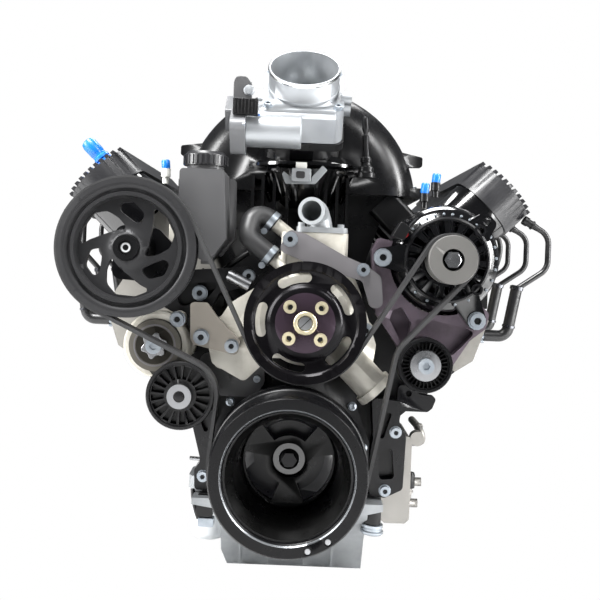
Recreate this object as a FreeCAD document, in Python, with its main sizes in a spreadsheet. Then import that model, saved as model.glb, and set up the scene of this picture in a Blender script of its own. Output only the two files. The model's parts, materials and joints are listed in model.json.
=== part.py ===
# A complete dressed V8 engine as an assembly of separate named parts.
#
# Frame: millimetres, +Z up, the front of the engine (its belt side) faces -Y, +X is to the right
# seen from the front.  The origin is the mouth of the pilot bore in the crankshaft's rear flange,
# so the crankshaft axis is the Y axis.
#
# Lengths live in the spreadsheet "Dims".  A Size is a number that remembers its spreadsheet
# formula, so every feature made from one is bound to the sheet by an expression.
import FreeCAD, Part
import math
import os
import Sketcher
from FreeCAD import Placement, Rotation, Vector

doc = FreeCAD.newDocument("V8Engine")
sheet = doc.addObject("Spreadsheet::Sheet", "Dims")
X, Y, Z = Vector(1, 0, 0), Vector(0, 1, 0), Vector(0, 0, 1)
ROOT2 = math.sqrt(2)


class Size:
    """A number together with the spreadsheet formula that gives it."""

    def __init__(self, value, text):
        self.value = value
        self.text = text

    def __float__(self):
        return float(self.value)

    def __neg__(self):
        return Size(-self.value, f"(-{self.text})")

    def __add__(self, other):
        return Size(self.value + float(other), f"({self.text} + {formula(other)})")

    def __sub__(self, other):
        return Size(self.value - float(other), f"({self.text} - {formula(other)})")

    def __mul__(self, other):
        return Size(self.value * float(other), f"({self.text} * {formula(other)})")

    def __truediv__(self, other):
        return Size(self.value / float(other), f"({self.text} / {formula(other)})")

    def __radd__(self, other):
        return Size(float(other) + self.value, f"({formula(other)} + {self.text})")

    def __rsub__(self, other):
        return Size(float(other) - self.value, f"({formula(other)} - {self.text})")

    def __rmul__(self, other):
        return self * other


def formula(number):
    return number.text if isinstance(number, Size) else f"({float(number):.6g})"


rows = 0


def dim(alias, value, note):
    """One row of the spreadsheet: its name, value and meaning."""
    global rows
    rows += 1
    sheet.set(f"A{rows}", alias)
    sheet.set(f"B{rows}", str(value))
    sheet.set(f"C{rows}", note)
    sheet.setAlias(f"B{rows}", alias)
    return Size(value, f"Dims.{alias}")


# ---------------------------------------------------------------- driving dimensions
bore_spacing = dim("bore_spacing", 111.76, "between neighbouring cylinders of a bank")
bore_radius = dim("bore_radius", 51.6, "cylinder bore")
crank_throw = dim("crank_throw", 46, "half of the stroke")
deck_height = dim("deck_height", 234.7, "crank axis to head face, along the bank")
bank_stagger = dim("bank_stagger", 12, "half the offset of the two banks along the crank")
first_pin = dim("first_pin", -444.1, "Y of the first crankpin")
cam_height = dim("cam_height", 124.8, "camshaft above crankshaft")
block_front = dim("block_front", -525, "Y of the block's front face")
block_rear = dim("block_rear", -12, "Y of the bellhousing face")
rail_height = dim("rail_height", -62, "Z of the oil pan rail")
pan_bottom = dim("pan_bottom", -175, "Z of the flat underside of the sump")
belt_plane = dim("belt_plane", -638, "Y of the middle of the accessory belt")
belt_width = dim("belt_width", 21.4, "six ribs at 3.56")
belt_thick = dim("belt_thick", 4.4, "back to rib tip")
rib_pitch = dim("rib_pitch", 3.56, "between belt ribs")
damper_radius = dim("damper_radius", 94.8, "crank balancer outer ring, 190 across")
damper_front = dim("damper_front", -700, "Y of the balancer's front face")
crank_pulley_r = dim("crank_pulley_r", 97, "over the ribs of the crank pulley")
water_x = dim("water_x", 13.5, "water pump shaft")
water_z = dim("water_z", 178.5, "water pump shaft")
water_pulley_r = dim("water_pulley_r", 73, "smooth pulley under the belt's back")
alt_x = dim("alt_x", 190.5, "alternator shaft")
alt_z = dim("alt_z", 262.7, "alternator shaft")
alt_pulley_r = dim("alt_pulley_r", 29, "over the ribs")
steer_x = dim("steer_x", -209.5, "steering pump shaft")
steer_z = dim("steer_z", 262, "steering pump shaft")
steer_pulley_r = dim("steer_pulley_r", 84.5, "over the ribs")
idler_x = dim("idler_x", 162.6, "idler pulley")
idler_z = dim("idler_z", 132, "idler pulley")
idler_r = dim("idler_r", 34, "smooth pulley")
arm_x = dim("arm_x", -177, "tensioner arm pivot")
arm_z = dim("arm_z", 139, "tensioner arm pivot")
tension_x = dim("tension_x", -136.5, "tensioner pulley")
tension_z = dim("tension_z", 83, "tensioner pulley")
tension_r = dim("tension_r", 42, "smooth pulley")
cover_base = dim("cover_base", 365, "crank axis to valve cover rail, along the bank")
cover_top = dim("cover_top", 467, "crank axis to the tips of the fins, along the bank")
cover_width = dim("cover_width", 100, "across a cover")
cover_middle = dim("cover_middle", -56, "cover centreline off the bank centreline, inboard")
throttle_r = dim("throttle_r", 47, "throttle inlet tube, outside")
throttle_tilt = dim("throttle_tilt", 41.5, "inlet axis forward of vertical, degrees")
dome_r = dim("dome_r", 170, "intake dome")
dome_z = dim("dome_z", 338, "centre height of the intake dome")
seal_gap = dim("seal_gap", 0.05, "radial clearance of a running fit")
doc.recompute()

belt_front = belt_plane - belt_width / 2
belt_rear = belt_plane + belt_width / 2


# ---------------------------------------------------------------- modelling helpers
def at(origin, xdir, ydir):
    """A placement with its X along xdir and its Y along ydir."""
    place = Vector(*[float(value) for value in origin])
    return Placement(place, Rotation(xdir, ydir, xdir.cross(ydir), "XYZ"))


def front(x, z, y):
    """A placement seen from the front: X right, Y up, normal toward the viewer."""
    return at((x, y, z), X, Z)


def bind(feature, name, size):
    setattr(feature, name, float(size))
    if isinstance(size, Size):
        feature.setExpression(name, size.text)


parts = []


def body(label, spot=None):
    """A PartDesign body.  With a spot (x, z, y) its own Z axis runs forward from there."""
    made = doc.addObject("PartDesign::Body", "Body_" + label)
    made.Label = label
    if spot is not None:
        made.Placement = front(*spot)
        for axis, size in zip("xzy", spot):
            if isinstance(size, Size):
                made.setExpression(f"Placement.Base.{axis}", size.text)
    parts.append(made)
    return made


def sketch(owner, place, shapes):
    made = owner.newObject("Sketcher::SketchObject", "Sketch")
    flat = [item for item in owner.Origin.OriginFeatures if item.Role == "XY_Plane"][0]
    made.AttachmentSupport = (flat, [""])
    made.MapMode = "FlatFace"
    if isinstance(place, Size):
        made.setExpression("AttachmentOffset.Base.z", place.text)
    elif isinstance(place, Placement):
        made.AttachmentOffset = place
    else:
        made.AttachmentOffset = Placement(Vector(0, 0, place), Rotation())
    for draw in shapes:
        draw(made)
    return made


def pin_coordinate(made, geometry, point, x, y):
    for kind, size in (("DistanceX", x), ("DistanceY", y)):
        if isinstance(size, Size):
            row = made.addConstraint(Sketcher.Constraint(kind, -1, 1, geometry, point, size.value))
            made.setExpression(f"Constraints[{row}]", size.text)


def circle(x, y, r):
    def draw(made):
        spot = Vector(float(x), float(y), 0)
        index = made.addGeometry(Part.Circle(spot, Z, float(r)))
        if isinstance(r, Size):
            row = made.addConstraint(Sketcher.Constraint("Radius", index, r.value))
            made.setExpression(f"Constraints[{row}]", r.text)
        pin_coordinate(made, index, 3, x, y)
    return draw


def polygon(points):
    """A closed outline; coordinates that are Sizes follow the spreadsheet."""
    def draw(made):
        ends = [Vector(float(x), float(y), 0) for x, y in points]
        rows = []
        for start, end in zip(ends, ends[1:] + ends[:1]):
            rows.append(made.addGeometry(Part.LineSegment(start, end)))
        for line, following in zip(rows, rows[1:] + rows[:1]):
            made.addConstraint(Sketcher.Constraint("Coincident", line, 2, following, 1))
        for line, (x, y) in zip(rows, points):
            pin_coordinate(made, line, 1, x, y)
    return draw


def rounded(points, radius):
    """A closed outline whose corners are rounded; radius is one value or one per corner."""
    ends = [Vector(float(x), float(y), 0) for x, y in points]
    radii = [float(radius)] * len(ends) if not isinstance(radius, (list, tuple)) else radius

    def draw(made):
        pieces = []
        for index, corner in enumerate(ends):
            before = (ends[index - 1] - corner).normalize()
            after = (ends[(index + 1) % len(ends)] - corner).normalize()
            half = before.getAngle(after) / 2
            reach = radii[index] / math.tan(half) if radii[index] else 0
            first, last = corner + before * reach, corner + after * reach
            middle = corner
            if radii[index]:
                bisector = (before + after).normalize()
                middle = corner + bisector * (radii[index] / math.sin(half) - radii[index])
            pieces.append((first, middle, last))
        for index, (first, middle, last) in enumerate(pieces):
            if radii[index]:
                made.addGeometry(Part.Arc(first, middle, last))
            following = pieces[(index + 1) % len(pieces)][0]
            if last.distanceToPoint(following) > 1e-6:
                made.addGeometry(Part.LineSegment(last, following))
    return draw


def ring_slot(middle, half_width, start, end):
    """A curved slot about the sketch origin with round ends, between two angles in degrees."""
    def draw(made):
        def spot(radius, angle):
            turn = math.radians(angle)
            return Vector(radius * math.cos(turn), radius * math.sin(turn), 0)

        inner, outer = float(middle) - half_width, float(middle) + half_width
        half = (start + end) / 2
        cap = math.degrees(half_width / float(middle))
        made.addGeometry(Part.Arc(spot(outer, start), spot(outer, half), spot(outer, end)))
        made.addGeometry(Part.Arc(spot(outer, end), spot(float(middle), end + cap), spot(inner, end)))
        made.addGeometry(Part.Arc(spot(inner, end), spot(inner, half), spot(inner, start)))
        made.addGeometry(Part.Arc(spot(inner, start), spot(float(middle), start - cap),
                                  spot(outer, start)))
    return draw


def sector(inner, outer, start, end):
    """A window between two radii and two angles in degrees."""
    def draw(made):
        def spot(radius, angle):
            turn = math.radians(angle)
            return Vector(float(radius) * math.cos(turn), float(radius) * math.sin(turn), 0)

        half = (start + end) / 2
        made.addGeometry(Part.Arc(spot(outer, start), spot(outer, half), spot(outer, end)))
        made.addGeometry(Part.LineSegment(spot(outer, end), spot(inner, end)))
        made.addGeometry(Part.Arc(spot(inner, end), spot(inner, half), spot(inner, start)))
        made.addGeometry(Part.LineSegment(spot(inner, start), spot(outer, start)))
    return draw


def box_outline(x0, y0, x1, y1, radius=0):
    corners = [(x0, y0), (x1, y0), (x1, y1), (x0, y1)]
    return rounded(corners, radius) if radius else polygon(corners)


def spaced(count, radius, start=0):
    """Points evenly spaced round a circle."""
    turns = [math.radians(start + 360 * index / count) for index in range(count)]
    return [(float(radius) * math.cos(turn), float(radius) * math.sin(turn)) for turn in turns]


def pad(owner, place, length, *shapes):
    made = owner.newObject("PartDesign::Pad", "Pad")
    made.Profile = sketch(owner, place, shapes)
    bind(made, "Length", length)
    return made


def pocket(owner, place, depth, *shapes):
    """A cut from the sketch against its normal; depth None cuts through both ways."""
    made = owner.newObject("PartDesign::Pocket", "Pocket")
    made.Profile = sketch(owner, place, shapes)
    if depth is None:
        made.Type = "ThroughAll"
        made.SideType = "Symmetric"
    else:
        bind(made, "Length", depth)
    return made


def revolve(owner, points, place=None, kind="Revolution"):
    """Turns an outline of (radius, height) points about the height axis."""
    made = owner.newObject("PartDesign::" + kind, kind)
    profile = sketch(owner, place or at((0, 0, 0), X, Z), [polygon(points)])
    made.Profile = profile
    made.ReferenceAxis = (profile, ["V_Axis"])
    made.Angle = 360
    return made


def round_edges(owner, radius, pick, kind="Fillet"):
    """Fillets (or chamfers) the edges of the newest feature that pick() accepts."""
    doc.recompute()
    base = owner.Tip
    names = [f"Edge{row + 1}" for row, edge in enumerate(base.Shape.Edges) if pick(edge)]
    made = owner.newObject("PartDesign::" + kind, kind)
    made.Base = (base, names)
    bind(made, "Radius" if kind == "Fillet" else "Size", radius)
    return made


def feature(label, shape):
    """A part whose form no PartDesign operation fits, kept as a shape."""
    made = doc.addObject("Part::Feature", "Shape_" + label)
    made.Label = label
    made.Shape = shape
    parts.append(made)
    return made


def route(points, bend):
    """A wire of straight runs joined by tangent arcs of one bend radius."""
    ends = [Vector(*[float(value) for value in point]) for point in points]
    edges, last = [], ends[0]
    for before, corner, after in zip(ends, ends[1:], ends[2:]):
        back, ahead = (before - corner).normalize(), (after - corner).normalize()
        half = back.getAngle(ahead) / 2
        reach = bend / math.tan(half)
        middle = corner + (back + ahead).normalize() * (bend / math.sin(half) - bend)
        start, end = corner + back * reach, corner + ahead * reach
        if last.distanceToPoint(start) > 1e-6:
            edges.append(Part.LineSegment(last, start).toShape())
        edges.append(Part.Arc(start, middle, end).toShape())
        last = end
    edges.append(Part.LineSegment(last, ends[-1]).toShape())
    return Part.Wire(edges)


def tube(points, radius, bend, hole=0):
    """A round hose or cord along a route; hole is its inside radius."""
    path = route(points, bend)
    start = path.Edges[0]
    heading = start.tangentAt(start.FirstParameter)
    origin = start.valueAt(start.FirstParameter)

    def swept(size):
        ring = Part.Wire(Part.makeCircle(size, origin, heading))
        return path.makePipeShell([ring], True, False)

    return swept(radius).cut(swept(hole)) if hole else swept(radius)


def rod(start, end, radius):
    """A plain cylinder between two points."""
    first, last = Vector(*[float(v) for v in start]), Vector(*[float(v) for v in end])
    return Part.makeCylinder(float(radius), (last - first).Length, first, last - first)


def socket_bolt(x, z, y, radius, height, shank, shank_radius, direction=None):
    """A socket-head screw whose head stands forward of y and whose shank runs back."""
    heading = direction or Vector(0, -1, 0)
    spot = Vector(float(x), float(y), float(z))
    head = Part.makeCylinder(radius, height, spot, heading)
    key = radius * 0.52
    hexagon = Part.makePolygon([Vector(px, py, 0) for px, py in spaced(6, key) + spaced(1, key)])
    socket = Part.Face(hexagon).extrude(Vector(0, 0, height * 0.6))
    socket.Placement = Placement(spot + heading * (height * 0.5), Rotation(Z, heading))
    stem = Part.makeCylinder(shank_radius, shank, spot, heading * -1)
    return head.cut(socket).fuse(stem)


def bank_point(side, u, v):
    """Section coordinates of a bank (u out along the bores, v outboard) as X and Z."""
    return side * (float(u) + float(v)) / ROOT2, (float(u) - float(v)) / ROOT2


def bank_plane(side, u, v, y):
    """A plane across the bores of a bank, facing out; its Y axis is the engine's Y."""
    x, z = bank_point(side, u, v)
    out = Vector(side / ROOT2, 0, 1 / ROOT2)
    return at((x, y, z), Y.cross(out), Y)


def bores(side):
    """Y positions of a bank's four cylinders."""
    return [first_pin - bank_stagger * side + bore_spacing * row for row in range(4)]


SIDES = (("right", 1), ("left", -1))


# ---------------------------------------------------------------- cylinder block
block = body("engine_block")


def half_block(side):
    deck = [bank_point(side, deck_height, v) for v in (80, -80)]
    low = bank_point(side, 118, 72)
    return [(side * 126, rail_height), (side * 126, rail_height + 12), (side * 112, -42),
            (side * 112, 4), low] + deck + [(side * 72, 180)]


pad(block, front(0, 0, block_rear), block_rear - block_front,
    polygon(half_block(1) + half_block(-1)[::-1]))
for name, side in SIDES:
    holes = [circle(0, y, bore_radius) for y in bores(side)]
    pocket(block, bank_plane(side, deck_height, 0, 0), deck_height - 70, *holes)
bays = [first_pin + bore_spacing * row for row in range(4)]
crankcase = at((0, 0, rail_height), X, -Y)
pocket(block, crankcase, -rail_height, box_outline(-98, 30, 98, 511))
pocket(block, crankcase, 88 - rail_height,
       *[box_outline(-90, 43.5 - y, 90, -43.5 - y) for y in bays])
pocket(block, front(0, 0, block_front - 1), 530, circle(0, 0, 34), circle(0, cam_height, 28.1))
# the bellhousing flange at the rear, with its bolt circle
pad(block, front(0, 0, block_rear), 14, rounded(
    [(-118, -62), (118, -62), (175, 20), (182, 147), (110, 219), (60, 190), (-60, 190),
     (-110, 219), (-182, 147), (-175, 20)], 12), circle(0, 0, 52), circle(0, cam_height, 28.1))
bell_holes = [(side * x, z) for side in (1, -1) for x, z in ((165, 40), (165, 150), (110, 205))]
pocket(block, front(0, 0, block_rear - 16), 20, *[circle(x, z, 5.2) for x, z in bell_holes])
# the engine mount pads, one on each flank, with four tapped holes
for name, side in SIDES:
    flank = at((side * 112, -290, -12), Vector(0, side, 0), Z)
    pad(block, flank, 22, box_outline(-52, -38, 52, 38, 6))
    pocket(block, at((side * 134, -290, -12), Vector(0, side, 0), Z), 20,
           *[circle(x, z, 5.1) for x in (-38, 38) for z in (-26, 26)])


def bearing_cap(y):
    block_piece = Part.makeBox(120, 20, 56, Vector(-60, y - 10, -56.3))
    relief = Part.makeCylinder(34, 30, Vector(0, y - 15, 0), Y)
    screws = [rod((x, y, -56.3), (x, y, -62), 8) for x in (-48, 48)]
    return block_piece.cut(relief).fuse(screws)


main_journals = [float(first_pin) + float(bore_spacing) * (row - 0.5) for row in range(5)]
feature("main_bearing_caps", Part.makeCompound([bearing_cap(y) for y in main_journals]))

# ---------------------------------------------------------------- oil pan
pan = body("oil_pan")
pad(pan, front(0, 0, block_rear), block_rear - block_front + 52,
    polygon([(-126, rail_height - 0.3), (126, rail_height - 0.3), (126, rail_height - 9),
             (106, rail_height - 14), (106, pan_bottom), (-82, pan_bottom), (-90, -150),
             (-90, rail_height - 14), (-126, rail_height - 9)]))
pocket(pan, at((0, 0, rail_height - 0.3), X, Y), 50, box_outline(-82, -512, 97, -44, 14))
pocket(pan, at((0, 0, -110), X, Y), 58, box_outline(-72, -486, 88, -76, 14))
# the oil filter's seat on the left flank
pad(pan, at((0, 0, -92), X, Y), 19, box_outline(-150, -432, -84, -368, 14))
pocket(pan, at((0, 0, 0), Y, Z), None,
       polygon([(-580, pan_bottom - 1), (-500, pan_bottom - 1), (-528, -126), (-580, -76)]))
pocket(pan, at((0, 0, 0), Y, Z), None,
       polygon([(5, pan_bottom - 1), (-60, pan_bottom - 1), (-34, -120), (-34, -84), (5, -84)]))
pad(pan, at((0, -57, -140), X, -Z), 15, circle(0, 0, 13))
# stiffening ribs down the sump's sloping front
for x in (-64, -26, 26, 64):
    pad(pan, at((x - 1.6, 0, 0), Y, Z), 3.2, polygon(
        [(-566, -82), (-526, -121), (-502, -171), (-510, -171), (-534, -121), (-572, -86)]))

can = Part.makeCylinder(28, 79.3, Vector(-118.7, -400, -171.6))
can = can.makeFillet(12, [edge for edge in can.Edges if edge.BoundBox.ZMax < -171])
feature("oil_filter", can.fuse(Part.makeCylinder(18, 0.6, Vector(-118.7, -400, -92.6))))

# ---------------------------------------------------------------- front and valley covers
timing = body("timing_cover")
timing_outline = [(-104, rail_height), (104, rail_height), (104, 20), (88, 60), (72, 150), (45, 196),
                  (-45, 196), (-72, 150), (-88, 60), (-104, 20)]
pad(timing, front(0, 0, block_front - 0.3), 52, rounded(timing_outline, 12))
pocket(timing, front(0, 0, block_front - 44), 50, rounded(
    [(-78, -50), (78, -50), (70, 60), (58, 140), (38, 182), (-38, 182), (-58, 140), (-70, 60)], 10))
pad(timing, front(0, 0, block_front - 52), 8, circle(0, 0, 46), circle(0, 0, 23 + seal_gap))
pocket(timing, front(0, 0, block_front - 62), 30, circle(0, 0, 23 + seal_gap))
pad(timing, front(0, 0, block_front - 52), 1.9, circle(0, cam_height, 30))

rear = body("rear_cover")
pad(rear, front(0, 0, block_rear + 6), 5.7, rounded(
    [(-100, -60), (100, -60), (100, 40), (60, 92), (-60, 92), (-100, 40)], 12),
    circle(0, 0, 50 + seal_gap))

# ---------------------------------------------------------------- cylinder heads and covers
for name, side in SIDES:
    head = body("cylinder_head_" + name)
    shift = -12 * side
    section = [(deck_height + 0.3, -82), (deck_height + 0.3, 82), (264, 88), (318, 62), (330, 12),
               (cover_base, 0), (cover_base, cover_middle - 52), (300, -108)]
    pad(head, front(0, 0, shift - 24), 480, polygon([bank_point(side, u, v) for u, v in section]))
    chambers = [circle(0, y, 46) for y in bores(side)]
    pocket(head, bank_plane(side, deck_height - 0.5, 0, 0), 10, *chambers).Reversed = True
    out = Vector(side / ROOT2, 0, -1 / ROOT2)
    x, z = bank_point(side, 292, 88)
    pocket(head, at((x, 0, z), Y, out.cross(Y)), 34,
           *[rounded([(y - 19, -14), (y + 19, -14), (y + 19, 14), (y - 19, 14)], 8)
             for y in [float(spot) for spot in bores(side)]])
    for y in [float(spot) - 44 for spot in bores(side)]:
        mouth = at((side * 272, y, 159.6), Y if side > 0 else Z, Z if side > 0 else Y)
        pocket(head, mouth, 32, circle(0, 0, 6.9))
    # cooling passage at the front face
    x, z = bank_point(side, 290, -40)
    pocket(head, front(0, 0, shift - 505), 25, circle(x, z, 15))

    cover = body("valve_cover_" + name)
    middle = float(cover_middle) * side
    half = float(cover_width) / 2
    front_y, rear_y = -530, -52
    rail = rounded([(middle - half, rear_y), (middle - half, front_y), (middle + half, front_y),
                    (middle + half, rear_y)], [12, half - 0.5, half - 0.5, 12])
    skirt = rounded([(middle - half + 3, rear_y - 3), (middle - half + 3, front_y + 3),
                     (middle + half - 3, front_y + 3), (middle + half - 3, rear_y - 3)],
                    [10, half - 4, half - 4, 10])
    inner = rounded([(middle - half + 7, rear_y - 7), (middle - half + 7, front_y + 7),
                     (middle + half - 7, front_y + 7), (middle + half - 7, rear_y - 7)],
                    [8, half - 8, half - 8, 8])
    pad(cover, bank_plane(side, cover_base + 0.3, 0, 0), 6, rail)
    pad(cover, bank_plane(side, cover_base + 0.3, 0, 0), 56.5, skirt)
    pocket(cover, bank_plane(side, cover_base - 0.5, 0, 0), 53, inner).Reversed = True

    coils = body("coil_cover_" + name)
    seat = cover_base + 57
    pad(coils, bank_plane(side, seat, 0, 0), cover_top - seat - 5, rail)
    pitch = 9.2
    ribs = [box_outline(middle - 2.6 + pitch * (row - 5), rear_y - 8,
                        middle + 2.6 + pitch * (row - 5),
                        front_y + half - math.sqrt(half ** 2 - (pitch * (row - 5)) ** 2) + 0.6)
            for row in range(11)]
    pad(coils, bank_plane(side, cover_top - 5, 0, 0), 5, *ribs)
    pocket(coils, bank_plane(side, seat - 0.5, 0, 0), 34, inner).Reversed = True
    if side < 0:
        pocket(coils, bank_plane(side, cover_top + 1, 0, 0), 60, circle(71, -450, 13))

# ---------------------------------------------------------------- intake manifold
intake = body("intake_manifold")
dome_front, dome_rear = -488, -70


def arch(radius, low):
    """The part of a circle about the dome's centre that lies above a height."""
    def draw(made):
        half = math.sqrt(float(radius) ** 2 - (low - float(dome_z)) ** 2)
        left, right = Vector(-half, low, 0), Vector(half, low, 0)
        made.addGeometry(Part.Arc(right, Vector(0, float(dome_z) + float(radius), 0), left))
        made.addGeometry(Part.LineSegment(left, right))
    return draw


pad(intake, front(0, 0, dome_rear), dome_rear - dome_front, arch(dome_r, 352))
round_edges(intake, 52, lambda edge: edge.Curve.TypeId == "Part::GeomCircle"
            and abs(edge.BoundBox.YMin - dome_front) < 1 and abs(edge.BoundBox.YMax - dome_front) < 1)
pad(intake, front(0, 0, -100), 370,
    rounded([(-154, 353), (-118, 318), (-100, 262), (-94, 236), (-62, 200), (62, 200), (94, 236),
             (100, 262), (118, 318), (154, 353)], [0, 14, 10, 10, 14, 14, 10, 10, 14, 0]))
pad(intake, front(0, 0, dome_rear - 6), dome_rear - dome_front - 30, *[
    box_outline(side * 158, 352, side * 177, 366) for side in (1, -1)])
# eight runners down to the heads
for name, side in SIDES:
    for y in [float(spot) for spot in bores(side)]:
        low_x, low_z = bank_point(side, 326, -108.3)
        normal = Vector(side / ROOT2, 0, -1 / ROOT2)
        plane = at((low_x, y, low_z), Y, normal.cross(Y))
        pad(intake, plane, 52, box_outline(-24, -24, 24, 24, 8)).Reversed = True
# the plenum inside
pocket(intake, front(0, 0, dome_front + 60), 348, arch(dome_r - 8, 360))
pad(intake, front(0, 0, -440), 14, rounded([(-120, 396), (-177, 402), (-177, 416), (-120, 424)], 3),
    rounded([(120, 396), (177, 398), (177, 412), (120, 424)], 3))
# throttle neck, leaning forward
lean = math.radians(float(throttle_tilt))
throttle_axis = Vector(0, -math.sin(lean), math.cos(lean))
throttle_down = Vector(0, -math.cos(lean), -math.sin(lean))
throttle_top = Vector(0, -570, 510)


def throttle_plane(depth, across=0, below=0):
    """A plane square to the inlet axis, at a depth under the rim; its X is the engine's X."""
    spot = throttle_top - throttle_axis * depth + throttle_down * below + X * across
    return at(spot, X, throttle_down * -1)


pocket(intake, throttle_plane(0), 83, rounded([(-57, -57), (57, -57), (57, 57), (-57, 57)], 16))
pad(intake, throttle_plane(180), 96.7, circle(0, 0, 53))
pad(intake, throttle_plane(94), 10.7, rounded([(-56, -56), (56, -56), (56, 56), (-56, 56)], 14))
pocket(intake, throttle_plane(82), 96, circle(0, 0, 45))
# rib rings round the front of the dome
pad(intake, front(0, 0, dome_front + 6), 20,
    polygon([(-76, 377), (-60, 366), (60, 366), (76, 377), (66, 386), (-66, 386)]))
pad(intake, front(0, 0, dome_front + 1), 22, *[
    box_outline(x - 2.2, 296, x + 2.2, 372) for x in (-66, -52, -36, -18, 18, 36, 52, 66)])

# ---------------------------------------------------------------- throttle body
throttle = body("throttle_body")
pad(throttle, throttle_plane(83), 83, circle(0, 0, throttle_r), circle(0, 0, 45))
pad(throttle, throttle_plane(83), 50, rounded([(-54, -54), (54, -54), (54, 54), (-54, 54)], 16),
    circle(0, 0, 45))
shaft_centre = throttle_top - throttle_axis * 56
pad(throttle, at(shaft_centre - X * 50, throttle_down, throttle_axis), 12, circle(0, 0, 16))
pad(throttle, at(shaft_centre + X * 50, throttle_axis, throttle_down), 14, circle(0, 0, 14))
pocket(throttle, at(shaft_centre - X * 70, throttle_axis, throttle_down), 126,
       circle(0, 0, 5.05)).Reversed = True
# the motor barrel, lying across in front of the throat
motor_centre = throttle_top - throttle_axis * 55 + throttle_down * 72
motor_plane = at(motor_centre - X * 72, throttle_down * -1, throttle_axis)
pad(throttle, motor_plane, 69, circle(0, 0, 21.7))
pad(throttle, motor_plane, 115, polygon([(4, -18), (40, -20), (40, 20), (4, 18)]))
pocket(throttle, throttle_plane(-1), 90, circle(0, 0, 45))

gearcase = body("throttle_gear_case")
case_plane = at(motor_centre - X * 92, throttle_down * -1, throttle_axis)
pad(gearcase, case_plane, 19.7, rounded(
    [(-25, -26), (30, -26), (94, -20), (102, 0), (94, 20), (30, 26), (-25, 26)], 10))
pad(gearcase, case_plane, 10, box_outline(20, -17, 58, 17, 3)).Reversed = True

plate = body("throttle_plate")
plate.Placement = at(shaft_centre, X, throttle_down * -1)
pad(plate, -1.2, 2.4, circle(0, 0, 44.5))
pad(plate, at((-70, 0, 0), Y, Z), 122, circle(0, 0, 5))

# ---------------------------------------------------------------- crank train
crank = body("crankshaft")
revolve(crank, [(0, 0), (50, 0), (50, -12), (33.95, -12), (33.95, -524), (24, -524), (24, -548),
                (19, -548), (19, -598), (0, -598)], at((0, 0, 0), X, Y))
pin_turns = [0, 90, 270, 180]
for y, turn in zip(bays, pin_turns):
    gap = front(0, 0, y - 28)
    pocket(crank, gap, 56, circle(0, 0, 35))
for y, turn in zip(bays, pin_turns):
    angle = math.radians(turn + 45)
    pin_x, pin_z = float(crank_throw) * math.sin(angle), float(crank_throw) * math.cos(angle)
    pad(crank, front(0, 0, y + 28.5), 57, circle(pin_x, pin_z, 26.6))
    for start in (y + 43, y - 25.5):
        outline = []
        for radius, swing in ((74, 14), (74, -14), (40, -65), (80, -120), (80, -150), (80, 180),
                              (80, 150), (80, 120), (40, 65)):
            spot = angle + math.radians(swing)
            outline.append((radius * math.sin(spot), radius * math.cos(spot)))
        pad(crank, front(0, 0, start), 17.5, rounded(outline, 6))
pocket(crank, at((0, 0.5, 0), X, -Z), 28, circle(0, 0, 21.6))
pocket(crank, at((0, 0.5, 0), X, -Z), 16, *[circle(x, z, 5.1) for x, z in spaced(6, 39.5, 30)])
pocket(crank, front(0, 0, -600), 45, circle(0, 0, 7.9))

bolt = body("crank_bolt", (0, 0, -598.3))
revolve(bolt, [(0, 0), (13, 0), (13, 2.5), (10.5, 5), (0, 5)])
pad(bolt, 4.5, 7.5, polygon(spaced(6, 10)))
pad(bolt, at((0, 0, -40), X, Y), 41, circle(0, 0, 7.85))


def cut_belt_grooves(owner, radius, middle):
    """The six V grooves of a multi-rib pulley, one sawtooth outline turned about the axis."""
    half = rib_pitch * 3
    outline = [(radius + 1, middle - half)]
    for row in range(6):
        start = middle - half + rib_pitch * row
        outline += [(radius, start + 0.3), (radius - 2.7, start + rib_pitch / 2 - 0.35),
                    (radius - 2.7, start + rib_pitch / 2 + 0.35), (radius, start + rib_pitch - 0.3)]
    outline.append((radius + 1, middle + half))
    revolve(owner, outline, kind="Groove")


hub = body("balancer_hub", (0, 0, damper_front))
revolve(hub, [(19.05, -138), (23, -138), (23, -106), (60, -100), (74.3, -96), (74.3, -8),
              (70, -16), (66, -24), (61, -88), (58, -91), (23, -91), (21.6, -90), (21.6, -96),
              (19.05, -98)])
pocket(hub, -80, 40, *[sector(31, 56, start, start + 78) for start in (-69, 51, 171)])

rubber = body("balancer_rubber", (0, 0, damper_front))
revolve(rubber, [(74.4, -90), (76.9, -90), (76.9, -9), (74.4, -9)])

ring = body("balancer_ring", (0, 0, damper_front))
groove_middle = damper_front - belt_plane
revolve(ring, [(77, -76), (98, -76), (98, -73), (crank_pulley_r, -72.8), (crank_pulley_r, -51.2),
               (98, -51), (98, -49), (damper_radius, -48), (damper_radius, -2),
               (damper_radius - 2, 0), (80, 0), (77, -4)])
cut_belt_grooves(ring, crank_pulley_r, groove_middle)
pocket(ring, 1, 9, circle(26.5, -84.2, 4.4), circle(49.9, -72.2, 4.4))

# ---------------------------------------------------------------- camshaft and timing drive
cam = body("camshaft", (0, cam_height, 0))
revolve(cam, [(0, 50), (18, 50), (18, 530), (22, 530), (22, 548), (0, 548)])
for y in main_journals:
    pad(cam, -y - 10, 20, circle(0, 0, 28))
for row in range(16):
    turn = math.radians(row * 360 * 3 / 8)
    y = main_journals[0] + 21 + (row // 4) * float(bore_spacing) + (row % 4) * 23.3
    pad(cam, -y - 8, 12, circle(5.5 * math.cos(turn), 5.5 * math.sin(turn), 20))


def toothed(count, tip, root):
    points = []
    for row in range(count):
        step = 360 / count
        for share, radius in ((0, root), (0.22, root), (0.36, tip), (0.64, tip), (0.78, root)):
            turn = math.radians(step * (row + share))
            points.append((radius * math.cos(turn), radius * math.sin(turn)))
    return polygon(points)


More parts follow.
